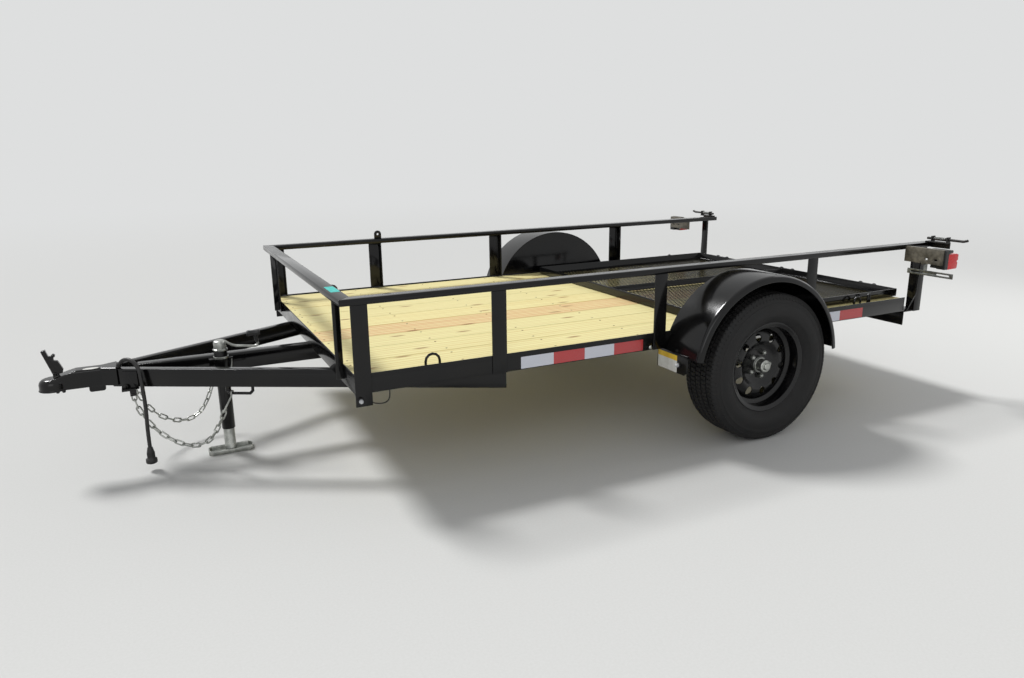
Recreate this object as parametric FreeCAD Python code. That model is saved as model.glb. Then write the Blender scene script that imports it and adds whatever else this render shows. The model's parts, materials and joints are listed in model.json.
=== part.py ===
import FreeCAD, Part
import math
import os

# Single-axle utility trailer with a wooden deck, open side rails and a ramp gate folded flat on the deck.
# Millimetres. +X is forward, +Y is the trailer's left, +Z is up, and the ground is Z = 0.
# Lengths along X are first counted from the axle. The origin lies under the middle of the whole length.

V = FreeCAD.Vector

# Driving dimensions: the bed
BED_FRONT = 1840.0
BED_REAR = -1140.0
HALF_WIDTH = 870.0
FRAME_BOTTOM = 367.0
FRAME_DEPTH = 76.0
RAIL_HEIGHT = 76.0
RAIL_LEG = 51.0
STEEL = 5.0

# Driving dimensions: the deck
BOARD_THICK = 38.0
BOARD_COUNT = 9
BOARD_GAP = 2.5
BOARD_EDGE = 3.0
CROSS_DEPTH = 25.0
CROSS_LEG = 51.0
CROSS_PLACES = [1784.0, 1366.0, 948.0, 530.0, 112.0, -306.0, -724.0, -1140.0]

# Driving dimensions: the upper rails and posts
TOP_RAIL_TOP = 805.0
TOP_RAIL_DEPTH = 25.0
TOP_RAIL_WIDE = 51.0
TOP_RAIL_OVER = 39.0
TUBE_WALL = 3.0
RAIL_REAR = -1300.0
POST_STEEL = 6.0
POST_WIDE = 64.0
POST_INWARD = 50.0
CORNER_POST_DROP = 48.0
FIRST_POST_X = 1250.0
POST_AHEAD = 1.7
POST_BEHIND = 29.7
FRONT_POST_IN = 180.0
FRONT_POST_DROP = 55.0
FRONT_POST_LEG = 30.0

# Driving dimensions: the holed tab on the right rail
TAB_X = 1230.0
TAB_RADIUS = 21.0
TAB_HOLE_RADIUS = 6.0
TAB_HOLE_RISE = 26.0
TAB_INSET = 22.0

# Driving dimensions: the tongue
ARM_FRONT_X = 2660.0
ARM_FRONT_Y = 50.0
ARM_REAR_X = 1210.0
ARM_REAR_IN = 24.0
ARM_FLANGE = 38.0
BEAM_WIDE = 51.0
BEAM_FRONT_X = 2560.0
BEAM_REAR_X = 1240.0

# Driving dimensions: the coupler and its lever
COUPLER_TIP_X = 2935.0
COUPLER_REAR_X = 2640.0
COUPLER_SHEET = 5.0
COUPLER_NECK_X = 2700.0
COUPLER_SLOPE_X = 2790.0
COUPLER_HALF = 35.0
COUPLER_RISE = 6.0
BALL_X = 2880.0
BALL_RADIUS = 26.0
BALL_RISE = 12.0
DOME_RADIUS = 52.0
DOME_HIGH = 50.0
DOME_ROUND = 26.0
EAR_GAP = 12.0
EAR_STEEL = 5.0
EAR_X = 2864.0
EAR_Z = 438.0
EAR_RADIUS = 10.0
LEVER_PIN_RADIUS = 4.0
LEVER_FOOT_X = 2873.0
LEVER_FOOT_Z = 435.0
LEVER_TIP_X = 2905.0
LEVER_TIP_Z = 539.0
LEVER_DEEP = 17.0
LEVER_BLOCK = [(2880.0, 500.0), (2850.0, 494.0), (2842.0, 476.0), (2834.0, 456.0), (2838.0, 442.0), (2862.0, 438.0)]
KNOB_X = 2863.0
KNOB_Z = 517.0
KNOB_RADIUS = 7.0

# Driving dimensions: the chain bracket, the chains and their keepers
BRACKET_X = 2603.0
BRACKET_LONG = 52.0
BRACKET_HALF = 126.0
BRACKET_STEEL = 8.0
BRACKET_PLATE = (50.0, 112.0)
EYE_X = 2588.0
EYE_Y = 108.0
EYE_GAP = 10.0
EYE_DROP = 24.0
EYE_BOLT_RADIUS = 4.6
EYE_BOLT_DROP = 15.0
LINK_WIRE = 6.0
LINK_INSIDE = 37.0
LINK_INSIDE_WIDE = 11.0
LINK_PLAY = 0.95
HOOK_RADIUS = 3.5
KEEPER_FRONT = 480.0
KEEPER_REAR = 590.0
KEEPER_DROP = 31.0
KEEPER_RADIUS = 6.0
KEEPER_INSET = 12.0
KEEPER_BEND = 12.0
HOOK_PLACE = 501.0

# Driving dimensions: wheels and axle
TYRE_RADIUS = 342.0
TYRE_WIDTH = 205.0
TREAD_HALF = 84.0
BULGE_RADIUS = 268.0
WHEEL_OUT = 122.0
RIM_BEAD_RADIUS = 190.0
RIM_LIP_RADIUS = 206.0
RIM_WIDTH = 150.0
RIM_STEEL = 4.0
RIM_FLARE = 8.0
RIM_WELL_RADIUS = 172.0
DISC_STEEL = 5.0
DISC_HOLES = 10
DISC_HOLE_RADIUS = 13.0
DISC_HOLE_CIRCLE = 132.0
HUB_RADIUS = 37.5
HUB_FLANGE_RADIUS = 70.0
CAP_RADIUS = 30.0
LUG_CIRCLE_RADIUS = 57.15
LUG_COUNT = 5
LUG_RADIUS = 11.0
LUG_LONG = 18.0
AXLE_RADIUS = 30.0
AXLE_PAST = 26.0
SPINDLE_RADIUS = 17.0
SPINDLE_PAST = 12.0
RUNNING_GAP = 0.05
SEAT_GAP = 0.3

# Driving dimensions: the springs
SPRING_IN = 25.5
SPRING_HALF = 19.0
SPRING_REACH = 330.0
SPRING_SEAT = 18.0
LEAF = 7.0
LEAF_REACHES = [110.0, 165.0, 225.0, 290.0]
LEAF_RISE = 9.5
EYE_RADIUS = 17.0
EYE_HOLE_RADIUS = 7.5
EYE_RISE = 36.0
EYE_ARM = 280.0
HANGER_STEEL = 5.0
HANGER_TOP_HALF = 28.0
HANGER_LOW_HALF = 16.0
CLAMP_BAR_RADIUS = 5.0
CLAMP_STEEL = 6.0
CLAMP_GAP = 1.5
SIDE_GAP = 1.0

# Driving dimensions: fenders
FENDER_GAP = 72.0
FENDER_X = 30.0
FENDER_RISE = 12.0
FENDER_FRONT_LOW = 432.0
FENDER_REAR_LOW = 394.0
FENDER_WIDE = 235.0
FENDER_SHEET = 3.0
FENDER_LIP = 26.0
FRONT_BRACKET_WIDE = 168.0
FRONT_BRACKET_LOW = 354.0
REAR_BRACKET_WIDE = 90.0
REAR_BRACKET_LOW = 400.0
BRACKET_INWARD = 38.0
BRACKET_CORNER = 18.0

# Driving dimensions: the gate and its hinges
HINGE_X = -1172.0
HINGE_Z = 537.0
GATE_REACH = 1342.0
GATE_START = 27.0
GATE_IN = 58.0
GATE_BAR = 51.0
GATE_DEEP = 40.0
GATE_STEEL = 4.0
MID_BAR = 30.0
MESH_THICK = 3.0
MESH_SEAT = 20.0
MESH_LONG = 126.0
MESH_SHORT = 62.0
MESH_STRAND = 7.0
HINGE_PLACES = [-600.0, 0.0, 600.0]
KNUCKLE_RADIUS = 15.0
KNUCKLE_LONG = 80.0
KNUCKLE_ARM = 8.0
PIN_RADIUS = 8.0
PIN_PAST = 5.0
LUG_PLATE = 8.0
LUG_EYE = 20.0
LUG_STEM = 8.0

# Driving dimensions: the rear header
HEADER_FRONT = -1140.0
HEADER_REAR = -1262.0
HEADER_STEEL = 6.0

# Driving dimensions: the jack
JACK_X = 2228.0
JACK_Y = 62.0
JACK_TUBE_RADIUS = 28.5
JACK_LEG_RADIUS = 24.0
JACK_LEG_GAP = 0.5
JACK_TOP = 473.0
JACK_TUBE_BOTTOM = 112.0
JACK_MOUNT_HALF = 50.0
JACK_MOUNT_INSET = 8.0
LEG_INSIDE = 200.0
CAP_HIGH = 45.0
CAP_BRIM = 31.5
CAP_BRIM_HIGH = 6.0
CAP_SIDE = 26.5
CRANK_RADIUS = 6.0
CRANK_POINTS = [(2226, 514), (2212, 512), (2176, 485), (2080, 472), (2068, 484), (2070, 496)]
GRIP_STEM_RADIUS = 9.0
GRIP_RADIUS = 13.0
GRIP_HALF = 28.0
GRIP_X = 2084.0
GRIP_Z = 534.0
FOOT_LONG = 190.0
FOOT_WIDE = 76.0
FOOT_STEEL = 4.0
FOOT_RIM = 20.0
FOOT_CORNER = 14.0

# Driving dimensions: tie-down loops, as place along X, half width and height over the deck
LOOPS = [(1522.0, 34.0, 47.0), (-813.0, 27.0, 42.0), (-896.0, 12.0, 48.0)]
LOOP_IN = 30.0
LOOP_BAR = 5.0

# Driving dimensions: lamps, latches and wires at the rear
LAMP_PLATE_X = -1090.0
LAMP_PLATE_WIDE = 213.0
LAMP_PLATE_LOW = 720.0
LAMP_PLATE_FLANGE = 16.0
LAMP_PLATE_TOP_GAP = 7.0
PLATE_SLOTS = [(38.0, 24.0), (92.0, 24.0)]
PLATE_SLOT_HALF = 4.5
PLATE_POINT = 10.0
LAMP_PAST = 10.0
LAMP_WIDE = 90.0
LAMP_HIGH = 82.0
LAMP_LOW = 700.0
HOUSING_DEEP = 22.0
LENS_DEEP = 62.0
LENS_INSET = 5.0
STRIP_PAST = 21.0
STRIP_LOW = 660.0
STRIP_HIGH = 26.0
STRIP_STEEL = 3.0
SLOT_SPACING = 144.0
SLOT_LONG = 70.0
SLOT_HALF = 4.0
STRIP_TAB = 18.0
STRIP_TAB_GAP = 4.0
STRIP_LONG = 250.0
LATCH_LAP = 23.0
LATCH_WIDE = 120.0
LATCH_BOLT_PAST = 102.0
LATCH_DEEP = 36.0
LATCH_LOW = 28.0
LATCH_EAR = 28.0
LATCH_BOLT_RADIUS = 6.5
LATCH_HANDLE = 22.0
MARKER_RADIUS = 9.0
MARKER_LONG = 20.0
FENDER_MARKER_OUT = 116.0
FENDER_MARKER_Z = 394.0
WIRE_RADIUS = 2.5
WIRE_CLEAR = 3.3

# The corner marker's wire, as distance back from the marker and down from the rail's foot
MARKER_WIRE = [(32.0, 33.0), (63.0, 47.0), (95.0, 51.0), (113.0, 37.0), (116.0, 0.3)]

# The rear lamp's wire, as distance ahead of its post's front and down from the upper rail
LAMP_WIRE = [(-17.0, 0.0), (-11.0, 90.0), (-6.0, 145.0), (-4.0, 209.0), (-3.0, 252.0), (18.0, 278.0), (42.0, 328.0)]
LAMP_WIRE_END = 52.0

# Worked out from the dimensions above
RAIL_BOTTOM = FRAME_BOTTOM + FRAME_DEPTH
RAIL_TOP = RAIL_BOTTOM + RAIL_HEIGHT
BOARD_BOTTOM = RAIL_BOTTOM + STEEL + CROSS_DEPTH
DECK_TOP = BOARD_BOTTOM + BOARD_THICK
TOP_RAIL_BOTTOM = TOP_RAIL_TOP - TOP_RAIL_DEPTH
POST_OUT = HALF_WIDTH + POST_STEEL
TOP_FRONT = BED_FRONT + TOP_RAIL_OVER
SPRING_BASE = TYRE_RADIUS + AXLE_RADIUS + 2 * SIDE_GAP
WHEEL_Y = HALF_WIDTH + WHEEL_OUT
AXLE_HALF = HALF_WIDTH + AXLE_PAST
SPRING_Y = HALF_WIDTH - SPRING_IN
ARM_REAR_Y = HALF_WIDTH - ARM_REAR_IN
FRONT_POST_Y = HALF_WIDTH - FRONT_POST_IN
LOOP_Y = HALF_WIDTH - LOOP_IN
GATE_HALF = HALF_WIDTH - GATE_IN
LATCH_IN = POST_OUT - LATCH_LAP
LATCH_OUT = LATCH_IN + LATCH_WIDE
LATCH_REACH = LATCH_OUT + LATCH_BOLT_PAST
LAMP_PLATE_OUT = POST_OUT + LAMP_PLATE_WIDE
STRIP_IN = POST_OUT + STRIP_PAST
FENDER_OUT = HALF_WIDTH + FENDER_WIDE
FENDER_RADIUS = TYRE_RADIUS + FENDER_GAP
FENDER_Z = TYRE_RADIUS + FENDER_RISE


def fender_reach(z):
    """How far the fender's sheet is from its middle, along X, at a height."""
    return math.sqrt(FENDER_RADIUS ** 2 - (z - FENDER_Z) ** 2)


SIDE_POSTS = [FIRST_POST_X, FENDER_X + fender_reach(RAIL_BOTTOM) + POST_AHEAD + POST_WIDE / 2,
              FENDER_X - fender_reach(RAIL_BOTTOM) - POST_BEHIND - POST_WIDE / 2]
COUPLER_LOW = FRAME_BOTTOM + COUPLER_RISE
COUPLER_TOP = RAIL_BOTTOM + COUPLER_RISE
EYE_BOLT_Z = FRAME_BOTTOM - BRACKET_STEEL - EYE_BOLT_DROP
MIDDLE_X = (COUPLER_TIP_X + RAIL_REAR) / 2

# The chains' routes from the bracket's bolts to their hooks: lists of points chosen by hand
CHAIN_NEAR = [(EYE_X, EYE_Y, EYE_BOLT_Z), (2586, EYE_Y, 309), (2577, 107, 274), (2564, 106, 241),
              (2547, 107, 209), (2527, 110, 179), (2503, 117, 152), (2475, 128, 128), (2445, 142, 109),
              (2414, 159, 97), (2383, 177, 93), (2353, 195, 99), (2327, 213, 116), (2307, 229, 140),
              (2291, 243, 169), (2277, 255, 200), (2263, 264, 232), (2250, 272, 264)]
CHAIN_FAR = [(EYE_X, -EYE_Y, EYE_BOLT_Z), (2585, -EYE_Y, 309), (2575, -EYE_Y, 275), (2561, -EYE_Y, 242),
             (2544, -109, 210), (2523, -113, 180), (2498, -120, 153), (2469, -131, 131), (2439, -146, 113),
             (2408, -164, 101), (2377, -183, 96), (2347, -201, 101), (2321, -219, 117), (2300, -235, 141),
             (2283, -248, 169), (2268, -259, 200), (2254, -267, 232), (2243, -274, 265)]

# The electric lead's route, the same kind of list
CORD_RADIUS = 8.0
CORD_POINTS = [(2628, 50, 457), (2618.3, 60.2, 473.9), (2604.2, 75.1, 484.3), (2588.4, 91.7, 485.9),
               (2573.5, 107.5, 478.4), (2561.3, 120.4, 462.3), (2553.7, 128.4, 438.7), (2552.2, 130, 406.8),
               (2551, 132, 362), (2549, 133, 308), (2550, 134, 252), (2553, 134, 198), (2554, 132, 146),
               (2554, 132, 104)]

# The plug at the lead's end, as radius and distance below the end
PLUG = [(0.0, 0.0), (11.0, 0.0), (15.0, 22.0), (15.0, 46.0), (23.0, 52.0), (23.0, 69.0), (19.0, 72.0), (0.0, 72.0)]


def block(x, y, z):
    """A box between two limits along each axis."""
    solid = Part.makeBox(x[1] - x[0], y[1] - y[0], z[1] - z[0])
    solid.translate(V(x[0], y[0], z[0]))
    return solid


def rod(radius, start, end):
    """A round bar from one point to another."""
    start = V(*start)
    way = V(*end).sub(start)
    return Part.makeCylinder(radius, way.Length, start, way)


def ring_of(points):
    return Part.makePolygon([V(*p) for p in points] + [V(*points[0])])


def plate(points, thick, way):
    """A flat plate: a closed outline of points, extruded along a direction."""
    return Part.Face(ring_of(points)).extrude(V(*way).multiply(thick))


def turned(profile, side=1):
    """A wheel's piece: an outline of (distance out, radius) points turned about the wheel's axis."""
    points = [(0, side * y, r) for y, r in profile]
    solid = Part.Face(ring_of(points)).revolve(V(0, 0, 0), V(0, 1, 0), 360)
    solid.translate(V(0, side * WHEEL_Y, TYRE_RADIUS))
    return solid


def fused(solids):
    """One solid from pieces that touch or overlap."""
    whole = solids[0]
    if len(solids) > 1:
        whole = whole.fuse(solids[1:])
    return whole.removeSplitter()


def mirrored(solid):
    """The same piece on the other side of the trailer."""
    return solid.mirror(V(0, 0, 0), V(0, 1, 0))


def both_sides(solids):
    return solids + [mirrored(s) for s in solids]


def slot(x, y, z, long, half, deep):
    """A cutter for a slot along Y with round ends, through a plate that faces X."""
    end = long / 2 - half
    ends = [rod(half, (x - deep, y + s * end, z), (x + deep, y + s * end, z)) for s in (-1, 1)]
    return fused(ends + [block((x - deep, x + deep), (y - end, y + end), (z - half, z + half))])


def bent_bar(points, radius, sides=8):
    """A bar of many-sided section with mitred bends through a list of points."""
    points = [V(*p) for p in points]
    way = points[1].sub(points[0]).normalize()
    side = way.cross(V(0, 0, 1))
    if side.Length < 0.1:
        side = way.cross(V(0, 1, 0))
    side.normalize()
    up = side.cross(way)
    reach = radius / math.cos(math.pi / sides)
    section = []
    for k in range(sides):
        turn = 2 * math.pi * (k + 0.5) / sides
        across = V(side).multiply(reach * math.cos(turn))
        section.append(points[0].add(across).add(V(up).multiply(reach * math.sin(turn))))
    path = Part.Wire(Part.makePolygon(points))
    return path.makePipeShell([Part.Wire(ring_of(section))], True, False, 1)


def arch(x, y, foot, half, top, bar):
    """A half-round loop of bar that stands on its two legs in a plane along X."""
    centre = top - bar - half
    points = [(x - half, y, foot)]
    if centre > foot + bar:
        points.append((x - half, y, centre))
    for turn in range(150, 0, -30):
        a = math.radians(turn)
        points.append((x + half * math.cos(a), y, centre + half * math.sin(a)))
    if centre > foot + bar:
        points.append((x + half, y, centre))
    points.append((x + half, y, foot))
    return bent_bar(points, bar)


# The bed's frame

def side_rails():
    upright = block((BED_REAR, BED_FRONT - STEEL), (HALF_WIDTH - STEEL, HALF_WIDTH), (RAIL_BOTTOM, RAIL_TOP))
    leg = block((BED_REAR, BED_FRONT - STEEL), (HALF_WIDTH - RAIL_LEG, HALF_WIDTH),
                (RAIL_BOTTOM, RAIL_BOTTOM + STEEL))
    return both_sides([fused([upright, leg])])


def front_header():
    upright = block((BED_FRONT - STEEL, BED_FRONT), (-HALF_WIDTH, HALF_WIDTH), (RAIL_BOTTOM, RAIL_TOP))
    inner = HALF_WIDTH - RAIL_LEG
    leg = block((BED_FRONT - RAIL_LEG, BED_FRONT), (-inner, inner), (RAIL_BOTTOM, RAIL_BOTTOM + STEEL))
    return [fused([upright, leg])]


def crossmembers():
    pieces = []
    reach = HALF_WIDTH - STEEL
    low = RAIL_BOTTOM + STEEL
    for x in CROSS_PLACES:
        flat = block((x, x + CROSS_LEG), (-reach, reach), (BOARD_BOTTOM - STEEL, BOARD_BOTTOM))
        web = block((x, x + STEEL), (-reach, reach), (low, BOARD_BOTTOM))
        pieces.append(fused([flat, web]))
    return pieces


def rear_header():
    """An angle under the rails' rear ends: its wide leg points backwards and carries the posts and hinges."""
    upright = block((HEADER_FRONT - HEADER_STEEL, HEADER_FRONT), (-HALF_WIDTH, HALF_WIDTH),
                    (FRAME_BOTTOM, RAIL_BOTTOM))
    leg = block((HEADER_REAR, HEADER_FRONT), (-HALF_WIDTH, HALF_WIDTH), (RAIL_BOTTOM - HEADER_STEEL, RAIL_BOTTOM))
    return [fused([upright, leg])]


def deck_boards():
    """Boards along X with their upper edges eased."""
    room = 2 * (HALF_WIDTH - STEEL) - 2 * BOARD_GAP
    wide = (room - (BOARD_COUNT - 1) * BOARD_GAP) / BOARD_COUNT
    shoulder = DECK_TOP - BOARD_EDGE
    boards = []
    for k in range(BOARD_COUNT):
        y = -room / 2 + k * (wide + BOARD_GAP)
        section = [(y, BOARD_BOTTOM), (y + wide, BOARD_BOTTOM), (y + wide, shoulder),
                   (y + wide - BOARD_EDGE, DECK_TOP), (y + BOARD_EDGE, DECK_TOP), (y, shoulder)]
        boards.append(plate([(BED_REAR, a, z) for a, z in section], BED_FRONT - STEEL - BED_REAR, (1, 0, 0)))
    return boards


# The upper rails and their posts

def tube(x, y, z, along):
    """A rectangular tube that is open at the two ends of the given axis."""
    limits = [x, y, z]
    inner = [limits[k] if k == along else (limits[k][0] + TUBE_WALL, limits[k][1] - TUBE_WALL) for k in range(3)]
    return block(*limits).cut(block(*inner))


def mitre(y_side):
    """The half of the front corner that the side rail leaves to the front rail, or the other half."""
    inner = (TOP_FRONT - TOP_RAIL_WIDE, POST_OUT - TOP_RAIL_WIDE)
    third = (TOP_FRONT, POST_OUT - TOP_RAIL_WIDE) if y_side else (TOP_FRONT - TOP_RAIL_WIDE, POST_OUT)
    outline = [(*inner, TOP_RAIL_BOTTOM), (TOP_FRONT, POST_OUT, TOP_RAIL_BOTTOM), (*third, TOP_RAIL_BOTTOM)]
    return plate(outline, TOP_RAIL_DEPTH, (0, 0, 1))


def top_rail_sides():
    bar = tube((RAIL_REAR, TOP_FRONT), (POST_OUT - TOP_RAIL_WIDE, POST_OUT), (TOP_RAIL_BOTTOM, TOP_RAIL_TOP), 0)
    return both_sides([bar.cut(mitre(True))])


def top_rail_front():
    bar = tube((TOP_FRONT - TOP_RAIL_WIDE, TOP_FRONT), (-POST_OUT, POST_OUT), (TOP_RAIL_BOTTOM, TOP_RAIL_TOP), 1)
    return [bar.cut(mitre(False)).cut(mirrored(mitre(False)))]


def side_post(front_x, bottom):
    """An angle post: its wide leg laps the outside of the side rail, its other leg points inwards."""
    rear_x = front_x - POST_WIDE
    wide = block((rear_x, front_x), (HALF_WIDTH, POST_OUT), (bottom, TOP_RAIL_BOTTOM))
    inward = block((rear_x, rear_x + POST_STEEL), (POST_OUT - POST_INWARD, POST_OUT), (RAIL_TOP, TOP_RAIL_BOTTOM))
    return fused([wide, inward])


def side_posts():
    posts = [side_post(BED_FRONT, RAIL_BOTTOM - CORNER_POST_DROP)]
    for x in SIDE_POSTS:
        posts.append(side_post(x + POST_WIDE / 2, RAIL_BOTTOM))
    return both_sides(posts)


def front_posts():
    low = RAIL_TOP - FRONT_POST_DROP
    half = RAIL_LEG / 2
    outer = FRONT_POST_Y + half
    face = block((BED_FRONT, BED_FRONT + POST_STEEL), (FRONT_POST_Y - half, outer), (low, TOP_RAIL_BOTTOM))
    leg = block((BED_FRONT, BED_FRONT + FRONT_POST_LEG), (outer - POST_STEEL, outer), (low, TOP_RAIL_BOTTOM))
    return both_sides([fused([face, leg])])


def rear_posts():
    """Angle posts on the rear header's ends."""
    front = HEADER_REAR + RAIL_LEG
    side = block((HEADER_REAR, front), (HALF_WIDTH, POST_OUT), (RAIL_BOTTOM - HEADER_STEEL, TOP_RAIL_BOTTOM))
    inward = block((front - POST_STEEL, front), (POST_OUT - POST_INWARD, POST_OUT), (RAIL_BOTTOM, TOP_RAIL_BOTTOM))
    return both_sides([fused([side, inward])])


def rail_tab():
    """A small round-topped plate with a hole, on top of the right rail by its second post."""
    y = (-POST_OUT + TAB_INSET, -POST_OUT + TAB_INSET + POST_STEEL)
    centre = TOP_RAIL_TOP + TAB_HOLE_RISE
    foot = block((TAB_X - TAB_RADIUS, TAB_X + TAB_RADIUS), y, (TOP_RAIL_TOP, centre))
    crown = rod(TAB_RADIUS, (TAB_X, y[0], centre), (TAB_X, y[1], centre))
    hole = rod(TAB_HOLE_RADIUS, (TAB_X, y[0] - 1, centre), (TAB_X, y[1] + 1, centre))
    return [fused([foot, crown]).cut(hole)]


# The tongue

ARM_ANGLE = math.atan2(ARM_REAR_Y - ARM_FRONT_Y, ARM_FRONT_X - ARM_REAR_X)
ARM_LONG = math.hypot(ARM_REAR_Y - ARM_FRONT_Y, ARM_FRONT_X - ARM_REAR_X)


def arm_point(back, inset, z):
    """A point at a distance back from the left arm's front end and in from its outer face."""
    x = ARM_FRONT_X - back * math.cos(ARM_ANGLE) - inset * math.sin(ARM_ANGLE)
    y = ARM_FRONT_Y + back * math.sin(ARM_ANGLE) - inset * math.cos(ARM_ANGLE)
    return (x, y, z)


def arm_plate(insets, z):
    """A straight strip along the left arm between two distances in from its outer face."""
    outline = [arm_point(0, insets[0], z[0]), arm_point(ARM_LONG, insets[0], z[0]),
               arm_point(ARM_LONG, insets[1], z[0]), arm_point(0, insets[1], z[0])]
    return plate(outline, z[1] - z[0], (0, 0, 1))


def tongue_arms():
    """Channels with their webs outside, under the header and out to the side rails, with the chains' keepers."""
    web = arm_plate((0, STEEL), (FRAME_BOTTOM, RAIL_BOTTOM))
    top = arm_plate((0, ARM_FLANGE), (RAIL_BOTTOM - STEEL, RAIL_BOTTOM))
    low = arm_plate((0, ARM_FLANGE), (FRAME_BOTTOM, FRAME_BOTTOM + STEEL))
    bottom = FRAME_BOTTOM - KEEPER_DROP
    route = [(KEEPER_FRONT, FRAME_BOTTOM + 1), (KEEPER_FRONT, bottom + KEEPER_BEND),
             (KEEPER_FRONT + KEEPER_BEND, bottom), (KEEPER_REAR - KEEPER_BEND, bottom),
             (KEEPER_REAR, bottom + KEEPER_BEND), (KEEPER_REAR, FRAME_BOTTOM + 1)]
    keeper = bent_bar([arm_point(back, KEEPER_INSET, z) for back, z in route], KEEPER_RADIUS)
    return both_sides([fused([web, top, low, keeper])])


def tongue_beam():
    half = BEAM_WIDE / 2
    outer = block((BEAM_REAR_X, BEAM_FRONT_X), (-half, half), (FRAME_BOTTOM, RAIL_BOTTOM))
    inner = block((BEAM_REAR_X, BEAM_FRONT_X), (-half + STEEL, half - STEEL),
                  (FRAME_BOTTOM + STEEL, RAIL_BOTTOM - STEEL))
    return [outer.cut(inner)]


def coupler_outline(inset, z):
    """The coupler's plan: it starts along the arms' outer faces and narrows to the ball."""
    slope = math.tan(ARM_ANGLE)
    grow = (COUPLER_SHEET + SEAT_GAP) / math.cos(ARM_ANGLE)
    rear = ARM_FRONT_Y + (ARM_FRONT_X - COUPLER_REAR_X) * slope + grow - inset
    neck = ARM_FRONT_Y + (ARM_FRONT_X - COUPLER_NECK_X) * slope + grow - inset
    nose = COUPLER_HALF - inset
    neck = max(neck, nose)
    half = [(COUPLER_REAR_X, rear), (COUPLER_NECK_X, neck), (BALL_X, nose)]
    return [(x, -y, z) for x, y in half] + [(x, y, z) for x, y in reversed(half)]


def coupler():
    """A pressed coupler: side walls along the arms, a domed nose round the ball socket, and the lever's ears."""
    body = plate(coupler_outline(0, COUPLER_LOW), COUPLER_TOP - COUPLER_LOW, (0, 0, 1))
    drop = COUPLER_TOP - COUPLER_LOW - DOME_HIGH
    slope = plate([(COUPLER_SLOPE_X, -DOME_RADIUS, COUPLER_TOP), (BALL_X, -DOME_RADIUS, COUPLER_TOP - drop),
                   (COUPLER_TIP_X, -DOME_RADIUS, COUPLER_TOP - drop), (COUPLER_TIP_X, -DOME_RADIUS, COUPLER_TOP)],
                  2 * DOME_RADIUS, (0, 1, 0))
    shoulder = COUPLER_LOW + DOME_HIGH - DOME_ROUND
    crown = V(BALL_X + DOME_RADIUS - DOME_ROUND, 0, COUPLER_LOW + DOME_HIGH)
    wall = V(BALL_X + DOME_RADIUS, 0, shoulder)
    turn = math.radians(45)
    middle = V(crown.x + DOME_ROUND * math.cos(turn), 0, shoulder + DOME_ROUND * math.sin(turn))
    outline = Part.Wire([Part.makeLine(V(BALL_X, 0, COUPLER_LOW), V(wall.x, 0, COUPLER_LOW)),
                         Part.makeLine(V(wall.x, 0, COUPLER_LOW), wall), Part.Arc(wall, middle, crown).toShape(),
                         Part.makeLine(crown, V(BALL_X, 0, crown.z)),
                         Part.makeLine(V(BALL_X, 0, crown.z), V(BALL_X, 0, COUPLER_LOW))])
    dome = Part.Face(outline).revolve(V(BALL_X, 0, 0), V(0, 0, 1), 360)
    lip = rod(COUPLER_TIP_X - BALL_X, (BALL_X, 0, COUPLER_LOW), (BALL_X, 0, COUPLER_LOW + COUPLER_SHEET))
    ears = []
    for side in (-1, 1):
        inner = side * EAR_GAP
        outer = side * (EAR_GAP + EAR_STEEL)
        ears.append(rod(EAR_RADIUS, (EAR_X, inner, EAR_Z), (EAR_X, outer, EAR_Z)))
        ears.append(block((EAR_X - EAR_RADIUS, EAR_X + EAR_RADIUS), sorted((inner, outer)),
                          (COUPLER_TOP - drop, EAR_Z)))
    whole = fused([body.cut(slope), dome, lip] + ears)
    socket = Part.makeSphere(BALL_RADIUS, V(BALL_X, 0, COUPLER_LOW + BALL_RISE))
    mouth = rod(BALL_RADIUS - TUBE_WALL, (BALL_X, 0, COUPLER_LOW - 1), (BALL_X, 0, COUPLER_LOW + BALL_RISE))
    pin = rod(LEVER_PIN_RADIUS + RUNNING_GAP, (EAR_X, -DOME_RADIUS, EAR_Z), (EAR_X, DOME_RADIUS, EAR_Z))
    hollow = plate(coupler_outline(COUPLER_SHEET, COUPLER_LOW - 1), RAIL_BOTTOM - COUPLER_LOW + 1, (0, 0, 1))
    room = block((COUPLER_REAR_X - 1, COUPLER_SLOPE_X), (-2 * DOME_RADIUS, 2 * DOME_RADIUS),
                 (COUPLER_LOW - 1, COUPLER_TOP))
    return [whole.cut(socket).cut(mouth).cut(pin).cut(hollow.common(room))]


def coupler_latch():
    """The lever on its pin between the nose's ears, lifted as parked, with the block and the knob behind it."""
    half = EAR_GAP - SIDE_GAP
    lean = math.atan2(LEVER_TIP_X - LEVER_FOOT_X, LEVER_TIP_Z - LEVER_FOOT_Z)
    back = V(-math.cos(lean), 0, math.sin(lean)).multiply(LEVER_DEEP)
    foot = V(LEVER_FOOT_X, -half, LEVER_FOOT_Z)
    tip = V(LEVER_TIP_X, -half, LEVER_TIP_Z)
    bar = plate([foot, tip, tip.add(back), foot.add(back)], 2 * half, (0, 1, 0))
    inner = half - SIDE_GAP
    behind = plate([(x, -inner, z) for x, z in LEVER_BLOCK], 2 * inner, (0, 1, 0))
    knob = rod(KNOB_RADIUS, (KNOB_X, SIDE_GAP - inner, KNOB_Z), (KNOB_X, inner - SIDE_GAP, KNOB_Z))
    stem = block((KNOB_X, KNOB_X + 2 * KNOB_RADIUS), (2 * SIDE_GAP - inner, inner - 2 * SIDE_GAP),
                 (KNOB_Z - 2 * LEVER_DEEP, KNOB_Z))
    reach = EAR_GAP + EAR_STEEL + LEVER_PIN_RADIUS
    pin = rod(LEVER_PIN_RADIUS, (EAR_X, -reach, EAR_Z), (EAR_X, reach, EAR_Z))
    return [fused([bar, behind, knob, stem, pin])]


# The safety chains and what holds them

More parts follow.
